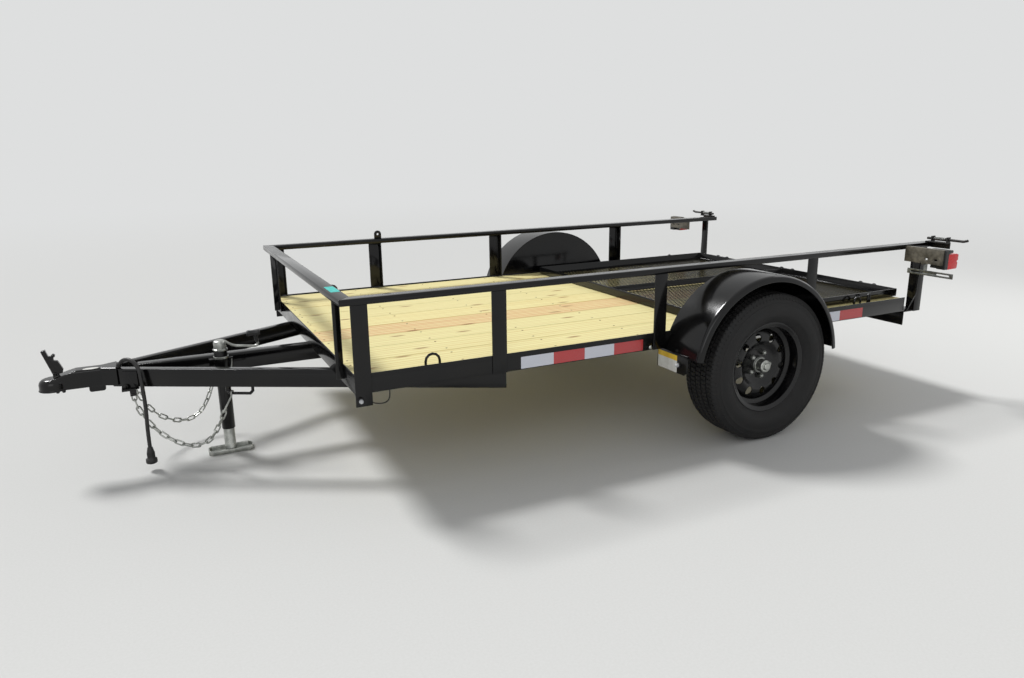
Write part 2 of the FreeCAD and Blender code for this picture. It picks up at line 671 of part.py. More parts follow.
def chain_bracket():
    """A plate under the arms and one on each arm's side, with a pair of eyes and a bolt for each chain."""
    x = (BRACKET_X - BRACKET_LONG / 2, BRACKET_X + BRACKET_LONG / 2)
    low = FRAME_BOTTOM - BRACKET_STEEL
    pieces = [block(x, (-BRACKET_HALF, BRACKET_HALF), (low, FRAME_BOTTOM))]
    front, rear = BRACKET_PLATE
    outline = [arm_point(front, 0, low), arm_point(rear, 0, low), arm_point(rear, -BRACKET_STEEL, low),
               arm_point(front, -BRACKET_STEEL, low)]
    pieces += both_sides([plate(outline, FRAME_DEPTH, (0, 0, 1))])
    for y in (-EYE_Y, EYE_Y):
        for side in (-1, 1):
            span = sorted((y + side * EYE_GAP, y + side * (EYE_GAP + EAR_STEEL)))
            pieces.append(block((EYE_X - EYE_DROP / 2, EYE_X + EYE_DROP / 2), span, (low - EYE_DROP, low)))
        reach = EYE_GAP + 2 * EAR_STEEL
        pieces.append(rod(EYE_BOLT_RADIUS, (EYE_X, y - reach, EYE_BOLT_Z), (EYE_X, y + reach, EYE_BOLT_Z)))
    return [fused(pieces)]


def link(start, end, face):
    """One link between two joints of the chain: a stretched ring whose flat side faces the way given."""
    way = V(end).sub(start)
    middle = V(start).add(V(way).multiply(0.5))
    way.normalize()
    side = V(face).cross(way).normalize()
    normal = way.cross(side)

    def ring(grow):
        u = LINK_INSIDE / 2 + grow
        v = LINK_INSIDE_WIDE / 2 + grow
        points = [middle.add(V(way).multiply(a)).add(V(side).multiply(b))
                  for a, b in ((u, v), (-u, v), (-u, -v), (u, -v))]
        return Part.Wire(ring_of(points))

    flat = Part.makeFace([ring(LINK_WIRE), ring(0)], "Part::FaceMakerCheese")
    flat.translate(V(normal).multiply(-LINK_WIRE / 2))
    return flat.extrude(V(normal).multiply(LINK_WIRE))


def chain_joints(points):
    """Points a pitch apart along a route of straight runs, from just over the bolt, for an odd count of links."""
    pitch = LINK_INSIDE - LINK_PLAY
    way = V(*points[1]).sub(V(*points[0])).normalize()
    joints = [V(*points[0]).sub(way.multiply(EYE_BOLT_RADIUS + LINK_PLAY))]
    for point in points[1:]:
        target = V(*point)
        while target.distanceToPoint(joints[-1]) >= pitch:
            way = target.sub(joints[-1]).normalize()
            joints.append(joints[-1].add(way.multiply(pitch)))
    return joints[:len(joints) // 2 * 2]


def chain_hook(before, joint, side):
    """An open hook from the last link up and over the keeper's bar, across which its upper bend lies."""
    top = V(*arm_point(HOOK_PLACE, KEEPER_INSET, FRAME_BOTTOM - KEEPER_DROP))
    across = V(math.sin(ARM_ANGLE), math.cos(ARM_ANGLE), 0)
    if side < 0:
        top = V(top.x, -top.y, top.z)
        across = V(across.x, -across.y, 0)
    way = joint.sub(before).normalize()
    through = way.cross(V(0, 0, 1)).normalize()
    if through.dot(across) < 0:
        through = through.multiply(-1)
    low = HOOK_RADIUS + LINK_PLAY / 2
    wide = HOOK_RADIUS + LINK_WIRE
    over = KEEPER_RADIUS + HOOK_RADIUS + LINK_PLAY
    reach = over / math.cos(math.radians(22.5))
    points = [joint.add(V(way).multiply(a)).add(V(through).multiply(b))
              for a, b in ((wide, -wide), (0, -wide), (-low, -wide / 2), (-low, wide / 2), (0, wide))]
    for rise, turn in ((-wide, 0), (0, 0), (0, 45), (0, 90), (0, 135), (0, 180), (-wide, 180)):
        a = math.radians(turn)
        points.append(top.add(V(across).multiply(reach * math.cos(a))).add(V(0, 0, rise + reach * math.sin(a))))
    return bent_bar([(p.x, p.y, p.z) for p in points], HOOK_RADIUS, 6)


def safety_chains():
    """Both chains, link by link, each with its hook."""
    pieces = []
    for points, side in ((CHAIN_NEAR, 1), (CHAIN_FAR, -1)):
        joints = chain_joints(points)
        for k in range(len(joints) - 1):
            way = joints[k + 1].sub(joints[k])
            across = way.cross(V(0, 0, 1)).normalize()
            face = across if k % 2 == 0 else across.cross(way).normalize()
            pieces.append(link(joints[k], joints[k + 1], face))
        print("chain links", len(joints) - 1, "end", joints[-1])
        pieces.append(chain_hook(joints[-2], joints[-1], side))
    return pieces


# The jack

def jack_tube():
    centre = (JACK_X, JACK_Y)
    outer = rod(JACK_TUBE_RADIUS, (*centre, JACK_TUBE_BOTTOM), (*centre, JACK_TOP))
    inner = rod(JACK_LEG_RADIUS + JACK_LEG_GAP, (*centre, JACK_TUBE_BOTTOM - 1), (*centre, JACK_TOP - COUPLER_RISE))
    mount = block((JACK_X - JACK_MOUNT_HALF, JACK_X + JACK_MOUNT_HALF), (BEAM_WIDE / 2, JACK_Y),
                  (FRAME_BOTTOM + JACK_MOUNT_INSET, RAIL_BOTTOM - JACK_MOUNT_INSET))
    return [fused([outer, mount]).cut(inner)]


def foot_outline(inset, z):
    """The foot's rectangle with cut corners, moved in by a wall."""
    u = FOOT_LONG / 2 - inset
    v = FOOT_WIDE / 2 - inset
    c = FOOT_CORNER - inset * math.tan(math.pi / 8)
    corners = [(u, v - c), (u - c, v), (c - u, v), (-u, v - c), (-u, c - v), (c - u, -v), (u - c, -v), (u, c - v)]
    return [(JACK_X + a, JACK_Y + b, z) for a, b in corners]


def jack_leg():
    """The round leg in the jack's tube, on a pan with an upturned rim."""
    centre = (JACK_X, JACK_Y)
    leg = rod(JACK_LEG_RADIUS, (*centre, FOOT_STEEL), (*centre, JACK_TUBE_BOTTOM + LEG_INSIDE))
    pan = plate(foot_outline(0, 0), FOOT_RIM, (0, 0, 1))
    room = plate(foot_outline(FOOT_STEEL, FOOT_STEEL), FOOT_RIM, (0, 0, 1))
    return [fused([leg, pan.cut(room)])]


def jack_crank():
    """The jack's cap and the crank out of it, bent down and up again to its grip."""
    centre = (JACK_X, JACK_Y)
    brim = rod(CAP_BRIM, (*centre, JACK_TOP), (*centre, JACK_TOP + CAP_BRIM_HIGH))
    side = rod(CAP_SIDE, (*centre, JACK_TOP), (*centre, JACK_TOP + CAP_HIGH - CAP_BRIM_HIGH))
    crown = Part.makeCone(CAP_SIDE, CAP_SIDE - CAP_BRIM_HIGH, CAP_BRIM_HIGH,
                          V(*centre, JACK_TOP + CAP_HIGH - CAP_BRIM_HIGH))
    bar = bent_bar([(x, JACK_Y, z) for x, z in CRANK_POINTS], CRANK_RADIUS)
    end = CRANK_POINTS[-1]
    stem = rod(GRIP_STEM_RADIUS, (end[0], JACK_Y, end[1] - CAP_BRIM_HIGH), (GRIP_X - CRANK_RADIUS, JACK_Y, GRIP_Z))
    grip = rod(GRIP_RADIUS, (GRIP_X - GRIP_HALF, JACK_Y, GRIP_Z), (GRIP_X + GRIP_HALF, JACK_Y, GRIP_Z))
    return [fused([brim, side, crown, bar, stem, grip])]


# Wheels and axle

def axle():
    """The axle's tube with its spindles and the seats under the springs."""
    tip = WHEEL_Y + SPINDLE_PAST
    pieces = [rod(AXLE_RADIUS, (0, -AXLE_HALF, TYRE_RADIUS), (0, AXLE_HALF, TYRE_RADIUS)),
              rod(SPINDLE_RADIUS, (0, -tip, TYRE_RADIUS), (0, tip, TYRE_RADIUS))]
    half = AXLE_RADIUS + SPINDLE_PAST
    for y in (-SPRING_Y, SPRING_Y):
        span = (y - SPRING_HALF, y + SPRING_HALF)
        pieces.append(block((-half, half), span, (SPRING_BASE - SPRING_SEAT, SPRING_BASE)))
    return [fused(pieces)]


def tyre(side):
    """A bulged casing round the rim's bead seats: one outline of the half section, and its mirror."""
    inner = RIM_WIDTH / 2 - RIM_STEEL - RIM_FLARE - 2 * SEAT_GAP
    half = [(inner, RIM_BEAD_RADIUS + SEAT_GAP), (TYRE_WIDTH / 2, BULGE_RADIUS), (TREAD_HALF, TYRE_RADIUS)]
    return [turned(half + [(-y, r) for y, r in reversed(half)], side)]


def rim(side):
    """A steel wheel: a rolled rim with flared lips and a dished disc with round holes."""
    half = RIM_WIDTH / 2
    well = RIM_WELL_RADIUS
    bead = half - RIM_FLARE
    outer = [(-half, RIM_LIP_RADIUS), (RIM_STEEL - half, RIM_LIP_RADIUS), (RIM_STEEL - bead, RIM_BEAD_RADIUS),
             (-28, RIM_BEAD_RADIUS), (-20, well), (12, well), (20, RIM_BEAD_RADIUS),
             (bead - RIM_STEEL, RIM_BEAD_RADIUS), (half - RIM_STEEL, RIM_LIP_RADIUS), (half, RIM_LIP_RADIUS)]
    inner = [(bead, RIM_BEAD_RADIUS), (17, RIM_BEAD_RADIUS), (9, well), (-17, well), (-25, RIM_BEAD_RADIUS),
             (-bead, RIM_BEAD_RADIUS)]
    shell = turned(outer + [(y, r - RIM_STEEL) for y, r in inner], side)
    step = HUB_RADIUS + SEAT_GAP
    reach = well - RIM_STEEL + SEAT_GAP
    face = [(8, step), (8, 84), (26, 112), (26, 126), (4, reach)]
    disc = turned(face + [(y - DISC_STEEL, r) for y, r in reversed(face)], side)
    holes = []
    for k in range(DISC_HOLES):
        turn = 2 * math.pi * k / DISC_HOLES
        x = DISC_HOLE_CIRCLE * math.cos(turn)
        z = TYRE_RADIUS + DISC_HOLE_CIRCLE * math.sin(turn)
        holes.append(rod(DISC_HOLE_RADIUS, (x, side * (WHEEL_Y - half), z), (x, side * (WHEEL_Y + half), z)))
    return [fused([shell, disc.cut(Part.makeCompound(holes))])]


def hub(side):
    """The hub with its bearings' bore, its flange, lug nuts and grease cap."""
    bore = SPINDLE_RADIUS + RUNNING_GAP
    outline = [(-88, bore), (-88, 34), (-20, 34), (-20, HUB_FLANGE_RADIUS), (3, HUB_FLANGE_RADIUS),
               (3, HUB_RADIUS), (22, HUB_RADIUS), (22, CAP_RADIUS), (48, CAP_RADIUS), (54, CAP_RADIUS - 6), (54, 0),
               (SPINDLE_PAST + 2, 0), (SPINDLE_PAST + 2, bore)]
    pieces = [turned(outline, side)]
    for k in range(LUG_COUNT):
        turn = 2 * math.pi * (k + 0.25) / LUG_COUNT
        x = LUG_CIRCLE_RADIUS * math.cos(turn)
        z = TYRE_RADIUS + LUG_CIRCLE_RADIUS * math.sin(turn)
        corners = [math.pi * n / 3 for n in range(6)]
        points = [(x + LUG_RADIUS * math.cos(a), side * (WHEEL_Y + 8), z + LUG_RADIUS * math.sin(a)) for a in corners]
        pieces.append(plate(points, LUG_LONG, (0, side, 0)))
    return pieces


# The springs

def leaf(reach, base):
    """One leaf: a flat bar bent to an arc, its ends higher than its middle."""
    rise = LEAF_RISE * (reach / LEAF_REACHES[-1]) ** 2
    low = Part.Arc(V(-reach, 0, base + rise), V(0, 0, base), V(reach, 0, base + rise))
    top = Part.Arc(V(-reach, 0, base + LEAF + rise), V(0, 0, base + LEAF), V(reach, 0, base + LEAF + rise))
    ends = [Part.makeLine(V(x, 0, base + rise), V(x, 0, base + LEAF + rise)) for x in (-reach, reach)]
    wire = Part.Wire(Part.__sortEdges__([low.toShape(), top.toShape()] + ends))
    return Part.Face(wire).extrude(V(0, 2 * SPRING_HALF, 0))


def leaf_springs():
    """A pack of leaves with an eye at each end, and the U-bolts and plate that clamp it to the axle."""
    pack = [leaf(reach, SPRING_BASE + LEAF * k) for k, reach in enumerate(LEAF_REACHES)]
    wide = 2 * SPRING_HALF
    high = SPRING_BASE + EYE_RISE
    holes = []
    for x in (-1, 1):
        pack.append(rod(EYE_RADIUS, (x * SPRING_REACH, 0, high), (x * SPRING_REACH, wide, high)))
        holes.append(rod(EYE_HOLE_RADIUS, (x * SPRING_REACH, -1, high), (x * SPRING_REACH, wide + 1, high)))
        pack.append(plate([(x * EYE_ARM, 0, high - LEAF), (x * SPRING_REACH, 0, high - EYE_RADIUS),
                           (x * SPRING_REACH, 0, high - EYE_RADIUS + LEAF), (x * EYE_ARM, 0, high)], wide, (0, 1, 0)))
    top = SPRING_BASE + LEAF * len(LEAF_REACHES)
    clear = CLAMP_BAR_RADIUS + CLAMP_GAP
    reach = (AXLE_RADIUS + clear) / math.cos(math.pi / 8)
    pack.append(block((-reach - clear, reach + clear), (-2 * clear, wide + 2 * clear), (top, top + CLAMP_STEEL)))
    for y in (-clear, wide + clear):
        points = [(-reach, y, top + 2 * CLAMP_STEEL)]
        for turn in (180, 225, 270, 315, 360):
            a = math.radians(turn)
            points.append((reach * math.cos(a), y, TYRE_RADIUS + reach * math.sin(a)))
        points.append((reach, y, top + 2 * CLAMP_STEEL))
        pack.append(bent_bar(points, CLAMP_BAR_RADIUS))
    solid = fused(pack).cut(Part.makeCompound(holes))
    solid.translate(V(0, SPRING_Y - SPRING_HALF, 0))
    return both_sides([solid])


def spring_hangers():
    """Ears under the side rail that hold the spring eyes, each pair with its bolt."""
    z = SPRING_BASE + EYE_RISE
    low = z - EYE_RADIUS - TUBE_WALL
    bolt_half = SPRING_HALF + SIDE_GAP + 2 * HANGER_STEEL
    pieces = []
    for x in (-SPRING_REACH, SPRING_REACH):
        ears = []
        for y in (SPRING_Y - SPRING_HALF - SIDE_GAP - HANGER_STEEL, SPRING_Y + SPRING_HALF + SIDE_GAP):
            ears.append(plate([(x - HANGER_TOP_HALF, y, RAIL_BOTTOM), (x + HANGER_TOP_HALF, y, RAIL_BOTTOM),
                               (x + HANGER_LOW_HALF, y, low), (x - HANGER_LOW_HALF, y, low)],
                              HANGER_STEEL, (0, 1, 0)))
        bolt = rod(EYE_HOLE_RADIUS - SEAT_GAP, (x, SPRING_Y - bolt_half, z), (x, SPRING_Y + bolt_half, z))
        pieces.append(fused(ears + [bolt]))
    return both_sides(pieces)


# Fenders

def fenders():
    """A half-round sheet over the tyre with a rolled outer lip and a back wall against the side rail."""
    centre = V(FENDER_X, HALF_WIDTH, FENDER_Z)
    wide = FENDER_OUT - HALF_WIDTH
    full = Part.makeCylinder(FENDER_RADIUS, wide, centre, V(0, 1, 0))
    room = Part.makeCylinder(FENDER_RADIUS - FENDER_SHEET, wide - 2 * FENDER_SHEET,
                             centre.add(V(0, FENDER_SHEET, 0)), V(0, 1, 0))
    mouth = Part.makeCylinder(FENDER_RADIUS - FENDER_LIP, 3 * FENDER_SHEET,
                              centre.add(V(0, wide - 2 * FENDER_SHEET, 0)), V(0, 1, 0))
    reach = FENDER_RADIUS + FENDER_LIP
    step = FENDER_RADIUS / 2
    line = [(-reach, -reach), (-reach, FENDER_REAR_LOW - FENDER_Z), (-step, FENDER_REAR_LOW - FENDER_Z),
            (step, FENDER_FRONT_LOW - FENDER_Z), (reach, FENDER_FRONT_LOW - FENDER_Z), (reach, -reach)]
    below = plate([(FENDER_X + a, HALF_WIDTH - 1, FENDER_Z + b) for a, b in line], wide + 2, (0, 1, 0))
    wall = block((FENDER_X - reach, FENDER_X + reach), (HALF_WIDTH - 1, HALF_WIDTH + FENDER_SHEET),
                 (FENDER_Z - reach, FENDER_FRONT_LOW))
    return both_sides([full.cut(room).cut(mouth).cut(below).cut(wall)])


def fender_brackets():
    """A plate below each fender's front end and one below its rear end, welded under the side rail."""
    front = FENDER_X + fender_reach(FENDER_FRONT_LOW) + SEAT_GAP
    rear = FENDER_X - fender_reach(FENDER_REAR_LOW) - SEAT_GAP - POST_STEEL
    inner = HALF_WIDTH - BRACKET_INWARD
    pieces = []
    for x, wide, low in ((front, FRONT_BRACKET_WIDE, FRONT_BRACKET_LOW), (rear, REAR_BRACKET_WIDE, REAR_BRACKET_LOW)):
        out = HALF_WIDTH + wide
        outline = [(inner, RAIL_BOTTOM), (out, RAIL_BOTTOM), (out, low + BRACKET_CORNER),
                   (out - BRACKET_CORNER, low), (inner, low)]
        pieces.append(plate([(x, y, z) for y, z in outline], POST_STEEL, (1, 0, 0)))
    return both_sides(pieces)


# The gate

GATE_LOW = HINGE_Z - GATE_DEEP / 2
GATE_HIGH = HINGE_Z + GATE_DEEP / 2
GATE_REAR = HINGE_X + GATE_START
GATE_FRONT = HINGE_X + GATE_REACH


def gate_frame():
    """A ring of angle with its foot inwards, a middle angle, and the hinge knuckles behind the rear bar."""
    ring = block((GATE_REAR, GATE_FRONT), (-GATE_HALF, GATE_HALF), (GATE_LOW, GATE_HIGH))
    opening = block((GATE_REAR + GATE_BAR, GATE_FRONT - GATE_BAR), (-GATE_HALF + GATE_BAR, GATE_HALF - GATE_BAR),
                    (GATE_LOW, GATE_HIGH))
    span = (GATE_REAR + GATE_STEEL, GATE_FRONT - GATE_STEEL)
    base = GATE_LOW + GATE_STEEL
    room = block(span, (-GATE_HALF + GATE_STEEL, GATE_HALF - GATE_STEEL), (base, GATE_HIGH + GATE_STEEL))
    half = MID_BAR / 2
    pieces = [ring.cut(opening).cut(room),
              block(span, (-half, half), (base, base + GATE_STEEL)),
              block(span, (-half, -half + GATE_STEEL), (base, base + MID_BAR))]
    for y in HINGE_PLACES:
        side = (y - KNUCKLE_LONG / 2, y + KNUCKLE_LONG / 2)
        pieces.append(rod(KNUCKLE_RADIUS, (HINGE_X, side[0], HINGE_Z), (HINGE_X, side[1], HINGE_Z)))
        pieces.append(block((HINGE_X, GATE_REAR), side, (HINGE_Z - KNUCKLE_ARM, HINGE_Z + KNUCKLE_ARM)))
    whole = fused(pieces)
    for y in HINGE_PLACES:
        whole = whole.cut(rod(PIN_RADIUS + RUNNING_GAP, (HINGE_X, y - KNUCKLE_LONG, HINGE_Z),
                              (HINGE_X, y + KNUCKLE_LONG, HINGE_Z)))
    return [whole]


def mesh_panel(x, y, z):
    """A panel of expanded metal: a sheet with staggered rows of diamond openings, longer along Y."""
    outline = [(x[0], y[0], z), (x[1], y[0], z), (x[1], y[1], z), (x[0], y[1], z)]
    rows = int((x[1] - x[0] - 2 * MESH_SEAT) / (MESH_SHORT / 2)) - 1
    columns = int((y[1] - y[0] - MESH_STRAND) / MESH_LONG)
    first_x = (x[0] + x[1] - (rows - 1) * MESH_SHORT / 2) / 2
    first_y = (y[0] + y[1] - (columns - 1) * MESH_LONG) / 2
    half_long = MESH_LONG / 2 - MESH_STRAND
    half_short = MESH_SHORT / 2 - MESH_STRAND / 2
    wires = [Part.Wire(ring_of(outline))]
    for row in range(rows):
        shift = MESH_LONG / 2 if row % 2 else 0
        for column in range(columns - row % 2):
            cx = first_x + row * MESH_SHORT / 2
            cy = first_y + column * MESH_LONG + shift
            wires.append(Part.Wire(ring_of([(cx, cy - half_long, z), (cx + half_short, cy, z),
                                            (cx, cy + half_long, z), (cx - half_short, cy, z)])))
    return Part.makeFace(wires, "Part::FaceMakerCheese").extrude(V(0, 0, MESH_THICK))


def gate_mesh():
    """The two panels on the gate's lower flanges."""
    x = (GATE_REAR + GATE_BAR - MESH_SEAT, GATE_FRONT - GATE_BAR + MESH_SEAT)
    y = (MID_BAR / 2 + SIDE_GAP, GATE_HALF - GATE_BAR + MESH_SEAT)
    return both_sides([mesh_panel(x, y, GATE_LOW + GATE_STEEL)])


def hinge_lugs():
    """Pairs of eye plates on the rear header, each with the pin that carries the gate."""
    pieces = []
    for y in HINGE_PLACES:
        plates = []
        for start in (y - KNUCKLE_LONG / 2 - SIDE_GAP - LUG_PLATE, y + KNUCKLE_LONG / 2 + SIDE_GAP):
            eye = rod(LUG_EYE, (HINGE_X, start, HINGE_Z), (HINGE_X, start + LUG_PLATE, HINGE_Z))
            stem = plate([(HINGE_X - LUG_STEM, start, RAIL_BOTTOM), (HINGE_X + LUG_EYE, start, RAIL_BOTTOM),
                          (HINGE_X + LUG_EYE, start, HINGE_Z), (HINGE_X - LUG_STEM, start, HINGE_Z)],
                         LUG_PLATE, (0, 1, 0))
            plates.append(fused([eye, stem]))
        reach = KNUCKLE_LONG / 2 + SIDE_GAP + LUG_PLATE + PIN_PAST
        pin = rod(PIN_RADIUS, (HINGE_X, y - reach, HINGE_Z), (HINGE_X, y + reach, HINGE_Z))
        pieces.append(fused(plates + [pin]))
    return pieces


def gate_latches():
    """A slide bolt on each rail's rear end: an angle bracket, two ears and a bolt with a bent handle."""
    x = (RAIL_REAR - POST_STEEL, RAIL_REAR - POST_STEEL + LATCH_DEEP)
    y = (LATCH_IN, LATCH_OUT)
    top = TOP_RAIL_TOP + POST_STEEL
    pieces = [block((x[0], RAIL_REAR), y, (TOP_RAIL_TOP - LATCH_LOW, top)),
              block(x, y, (TOP_RAIL_TOP, top))]
    middle = (x[0] + x[1]) / 2
    bolt_z = top + LATCH_EAR / 2
    for start in (LATCH_IN + LATCH_LOW, LATCH_OUT - POST_STEEL):
        pieces.append(block((middle - LATCH_EAR / 2, middle + LATCH_EAR / 2), (start, start + POST_STEEL),
                            (top, top + LATCH_EAR)))
    route = [(middle, LATCH_IN, bolt_z), (middle, LATCH_REACH - LATCH_HANDLE, bolt_z),
             (middle, LATCH_REACH, bolt_z + LATCH_BOLT_RADIUS)]
    pieces.append(bent_bar(route, LATCH_BOLT_RADIUS))
    return both_sides([fused(pieces)])


# Lamps and small fittings

def lamp_plates():
    """A plate out from each post with a flange along its top, two slots and a point on its lower edge."""
    x = LAMP_PLATE_X - STEEL
    top = TOP_RAIL_TOP - LAMP_PLATE_TOP_GAP
    middle = (POST_OUT + LAMP_PLATE_OUT) / 2
    outline = [(POST_OUT, LAMP_PLATE_LOW), (middle - PLATE_POINT, LAMP_PLATE_LOW),
               (middle, LAMP_PLATE_LOW - PLATE_POINT), (middle + PLATE_POINT, LAMP_PLATE_LOW),
               (LAMP_PLATE_OUT, LAMP_PLATE_LOW), (LAMP_PLATE_OUT, top), (POST_OUT, top)]
    face = plate([(x, y, z) for y, z in outline], STEEL, (1, 0, 0))
    flange = block((x - LAMP_PLATE_FLANGE, x + STEEL), (POST_OUT, LAMP_PLATE_OUT), (top - STEEL, top))
    whole = fused([face, flange])
    for back, high in PLATE_SLOTS:
        whole = whole.cut(slot(x, LAMP_PLATE_OUT - back, LAMP_PLATE_LOW + high, 4 * PLATE_SLOT_HALF,
                               PLATE_SLOT_HALF, 2 * STEEL))
    return both_sides([whole])


LAMP_OUT = LAMP_PLATE_OUT + LAMP_PAST
LAMP_IN = LAMP_OUT - LAMP_WIDE
LAMP_FACE = LAMP_PLATE_X - STEEL
LENS_FACE = LAMP_FACE - HOUSING_DEEP


def lamp_housings():
    return both_sides([block((LENS_FACE, LAMP_FACE), (LAMP_IN, LAMP_OUT), (LAMP_LOW, LAMP_LOW + LAMP_HIGH))])


def lamps():
    """The lens of each lamp, smaller towards its outer face."""
    low = LAMP_LOW + LENS_INSET
    high = LAMP_LOW + LAMP_HIGH - LENS_INSET
    section = [(LENS_FACE, low), (LENS_FACE, high), (LENS_FACE - LENS_DEEP, high - LENS_INSET),
               (LENS_FACE - LENS_DEEP, low + LENS_INSET)]
    return both_sides([plate([(x, LAMP_IN + LENS_INSET, z) for x, z in section], LAMP_WIDE - 2 * LENS_INSET,
                             (0, 1, 0))])


def licence_bracket():
    """A slotted strip for the number plate, hung from the left lamp's plate by a tab."""
    x = LAMP_FACE - STRIP_STEEL
    strip = block((x, LAMP_FACE), (STRIP_IN, STRIP_IN + STRIP_LONG), (STRIP_LOW, STRIP_LOW + STRIP_HIGH))
    tab_out = LAMP_IN - STRIP_TAB_GAP
    tab = block((x, LAMP_FACE), (tab_out - STRIP_TAB, tab_out), (STRIP_LOW, LAMP_PLATE_LOW + STRIP_TAB))
    whole = fused([strip, tab])
    middle = STRIP_IN + STRIP_LONG / 2
    for side in (-1, 1):
        whole = whole.cut(slot(x, middle + side * SLOT_SPACING / 2, STRIP_LOW + STRIP_HIGH / 2, SLOT_LONG, SLOT_HALF,
                               2 * STRIP_STEEL))
    return [whole]


def tie_down_loops():
    """Bar loops welded to the rail's foot beside the deck, on both sides."""
    return both_sides([arch(x, LOOP_Y, DECK_TOP, half - LOOP_BAR, DECK_TOP + high, LOOP_BAR)
                       for x, half, high in LOOPS])


def marker_lights():
    """Small bullet markers: one low on each corner post and one on each fender's front bracket."""
    z = RAIL_BOTTOM - CORNER_POST_DROP / 2
    x = BED_FRONT - 2 * MARKER_RADIUS
    side = rod(MARKER_RADIUS, (x, POST_OUT, z), (x, POST_OUT + MARKER_LONG, z))
    face = FENDER_X + fender_reach(FENDER_FRONT_LOW) + SEAT_GAP + POST_STEEL
    y = HALF_WIDTH + FENDER_MARKER_OUT
    ahead = rod(MARKER_RADIUS, (face, y, FENDER_MARKER_Z), (face + MARKER_LONG, y, FENDER_MARKER_Z))
    return both_sides([side, ahead])


def light_wires():
    """The corner marker's wire, that sags under the rail, and the rear lamp's wire along its post."""
    z = RAIL_BOTTOM - CORNER_POST_DROP / 2
    x = BED_FRONT - 2 * MARKER_RADIUS
    y = HALF_WIDTH - 2 * WIRE_CLEAR
    sag = [(x, HALF_WIDTH - SEAT_GAP, z), (x, y, z)]
    sag += [(x - back, y, RAIL_BOTTOM - down) for back, down in MARKER_WIRE]
    out = POST_OUT + WIRE_CLEAR
    front = HEADER_REAR + RAIL_LEG
    drop = [(front + ahead, out, TOP_RAIL_BOTTOM - down) for ahead, down in LAMP_WIRE]
    drop.append((front + LAMP_WIRE_END, HALF_WIDTH + WIRE_CLEAR, RAIL_BOTTOM))
    return both_sides([bent_bar(sag, WIRE_RADIUS, 6), bent_bar(drop, WIRE_RADIUS, 6)])


# The trailer's electric lead

def cord_gland():
    """The short sleeve that leans out of the left arm's top face with the lead."""
    end = V(*CORD_POINTS[0])
    way = V(*CORD_POINTS[1]).sub(end).normalize().multiply(3 * CORD_RADIUS)
    wide = 4 * CORD_RADIUS
    y = (end.y - wide, end.y + wide)
    under = block((end.x - wide, end.x + wide), y, (FRAME_BOTTOM, RAIL_BOTTOM))
    ahead = block((COUPLER_REAR_X - SEAT_GAP, end.x + wide), y, (FRAME_BOTTOM, end.z))
    return [rod(CORD_RADIUS + TUBE_WALL, end.sub(way), end).cut(under).cut(ahead)]


def cord_path(points):
    """Straight runs joined by arcs that touch both runs, and the radii of the arcs."""
    edges = []
    radii = []
    start = V(*points[0])
    for k in range(1, len(points) - 1):
        here = V(*points[k])
        back = V(*points[k - 1]).sub(here)
        ahead = V(*points[k + 1]).sub(here)
        half = (math.pi - back.getAngle(ahead)) / 2
        trim = 0.45 * min(back.Length, ahead.Length)
        radii.append(trim / math.tan(half))
        back.normalize()
        ahead.normalize()
        first = here.add(V(back).multiply(trim))
        last = here.add(V(ahead).multiply(trim))
        inset = radii[-1] / math.cos(half) - radii[-1]
        middle = here.add(V(back).add(ahead).normalize().multiply(inset))
        edges.append(Part.makeLine(start, first))
        edges.append(Part.Arc(first, middle, last).toShape())
        start = last
    edges.append(Part.makeLine(start, V(*points[-1])))
    return Part.Wire(edges), radii


def wiring_cord():
    path, radii = cord_path(CORD_POINTS)
    way = V(*CORD_POINTS[1]).sub(V(*CORD_POINTS[0]))
    ring = Part.Wire(Part.makeCircle(CORD_RADIUS, V(*CORD_POINTS[0]), way))
    lead = path.makePipeShell([ring], True, False)
    print("cord length", round(path.Length), "radii", [round(r) for r in radii])
    print("cord volume ratio", round(lead.Volume / (math.pi * CORD_RADIUS ** 2 * path.Length), 4))
    return [lead]


def wiring_plug():
    """The plug at the lead's end: a neck, a grip and a wider head, turned about an upright axis."""
    end = CORD_POINTS[-1]
    points = [(end[0] + radius, end[1], end[2] - below) for radius, below in PLUG]
    return [Part.Face(ring_of(points)).revolve(V(end[0], end[1], 0), V(0, 0, 1), 360)]


def node_table():
    makers = [side_rails, front_header, crossmembers, rear_header, deck_boards, top_rail_sides, top_rail_front,
              side_posts, front_posts, rear_posts, rail_tab, tongue_arms, tongue_beam, coupler, coupler_latch,
              chain_bracket, safety_chains, jack_tube, jack_leg, jack_crank, axle, leaf_springs, spring_hangers,
              fenders, fender_brackets, gate_frame, gate_mesh, hinge_lugs, gate_latches, lamp_plates,
              lamp_housings, lamps, licence_bracket, tie_down_loops, marker_lights, light_wires, cord_gland,
              wiring_cord, wiring_plug]
    nodes = {make.__name__: make() for make in makers}
    for name, side in (("left", 1), ("right", -1)):
        nodes["tyre_" + name] = tyre(side)
        nodes["rim_" + name] = rim(side)
        nodes["hub_" + name] = hub(side)
    return nodes


os.makedirs("parts", exist_ok=True)
for name, solids in node_table().items():
    shape = Part.makeCompound(solids) if len(solids) > 1 else solids[0]
    shape.translate(V(-MIDDLE_X, 0, 0))
    shape.exportStep("parts/" + name + ".step")
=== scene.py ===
import json
import math
import random

import bmesh
import bpy
import numpy
from mathutils import Matrix, Vector

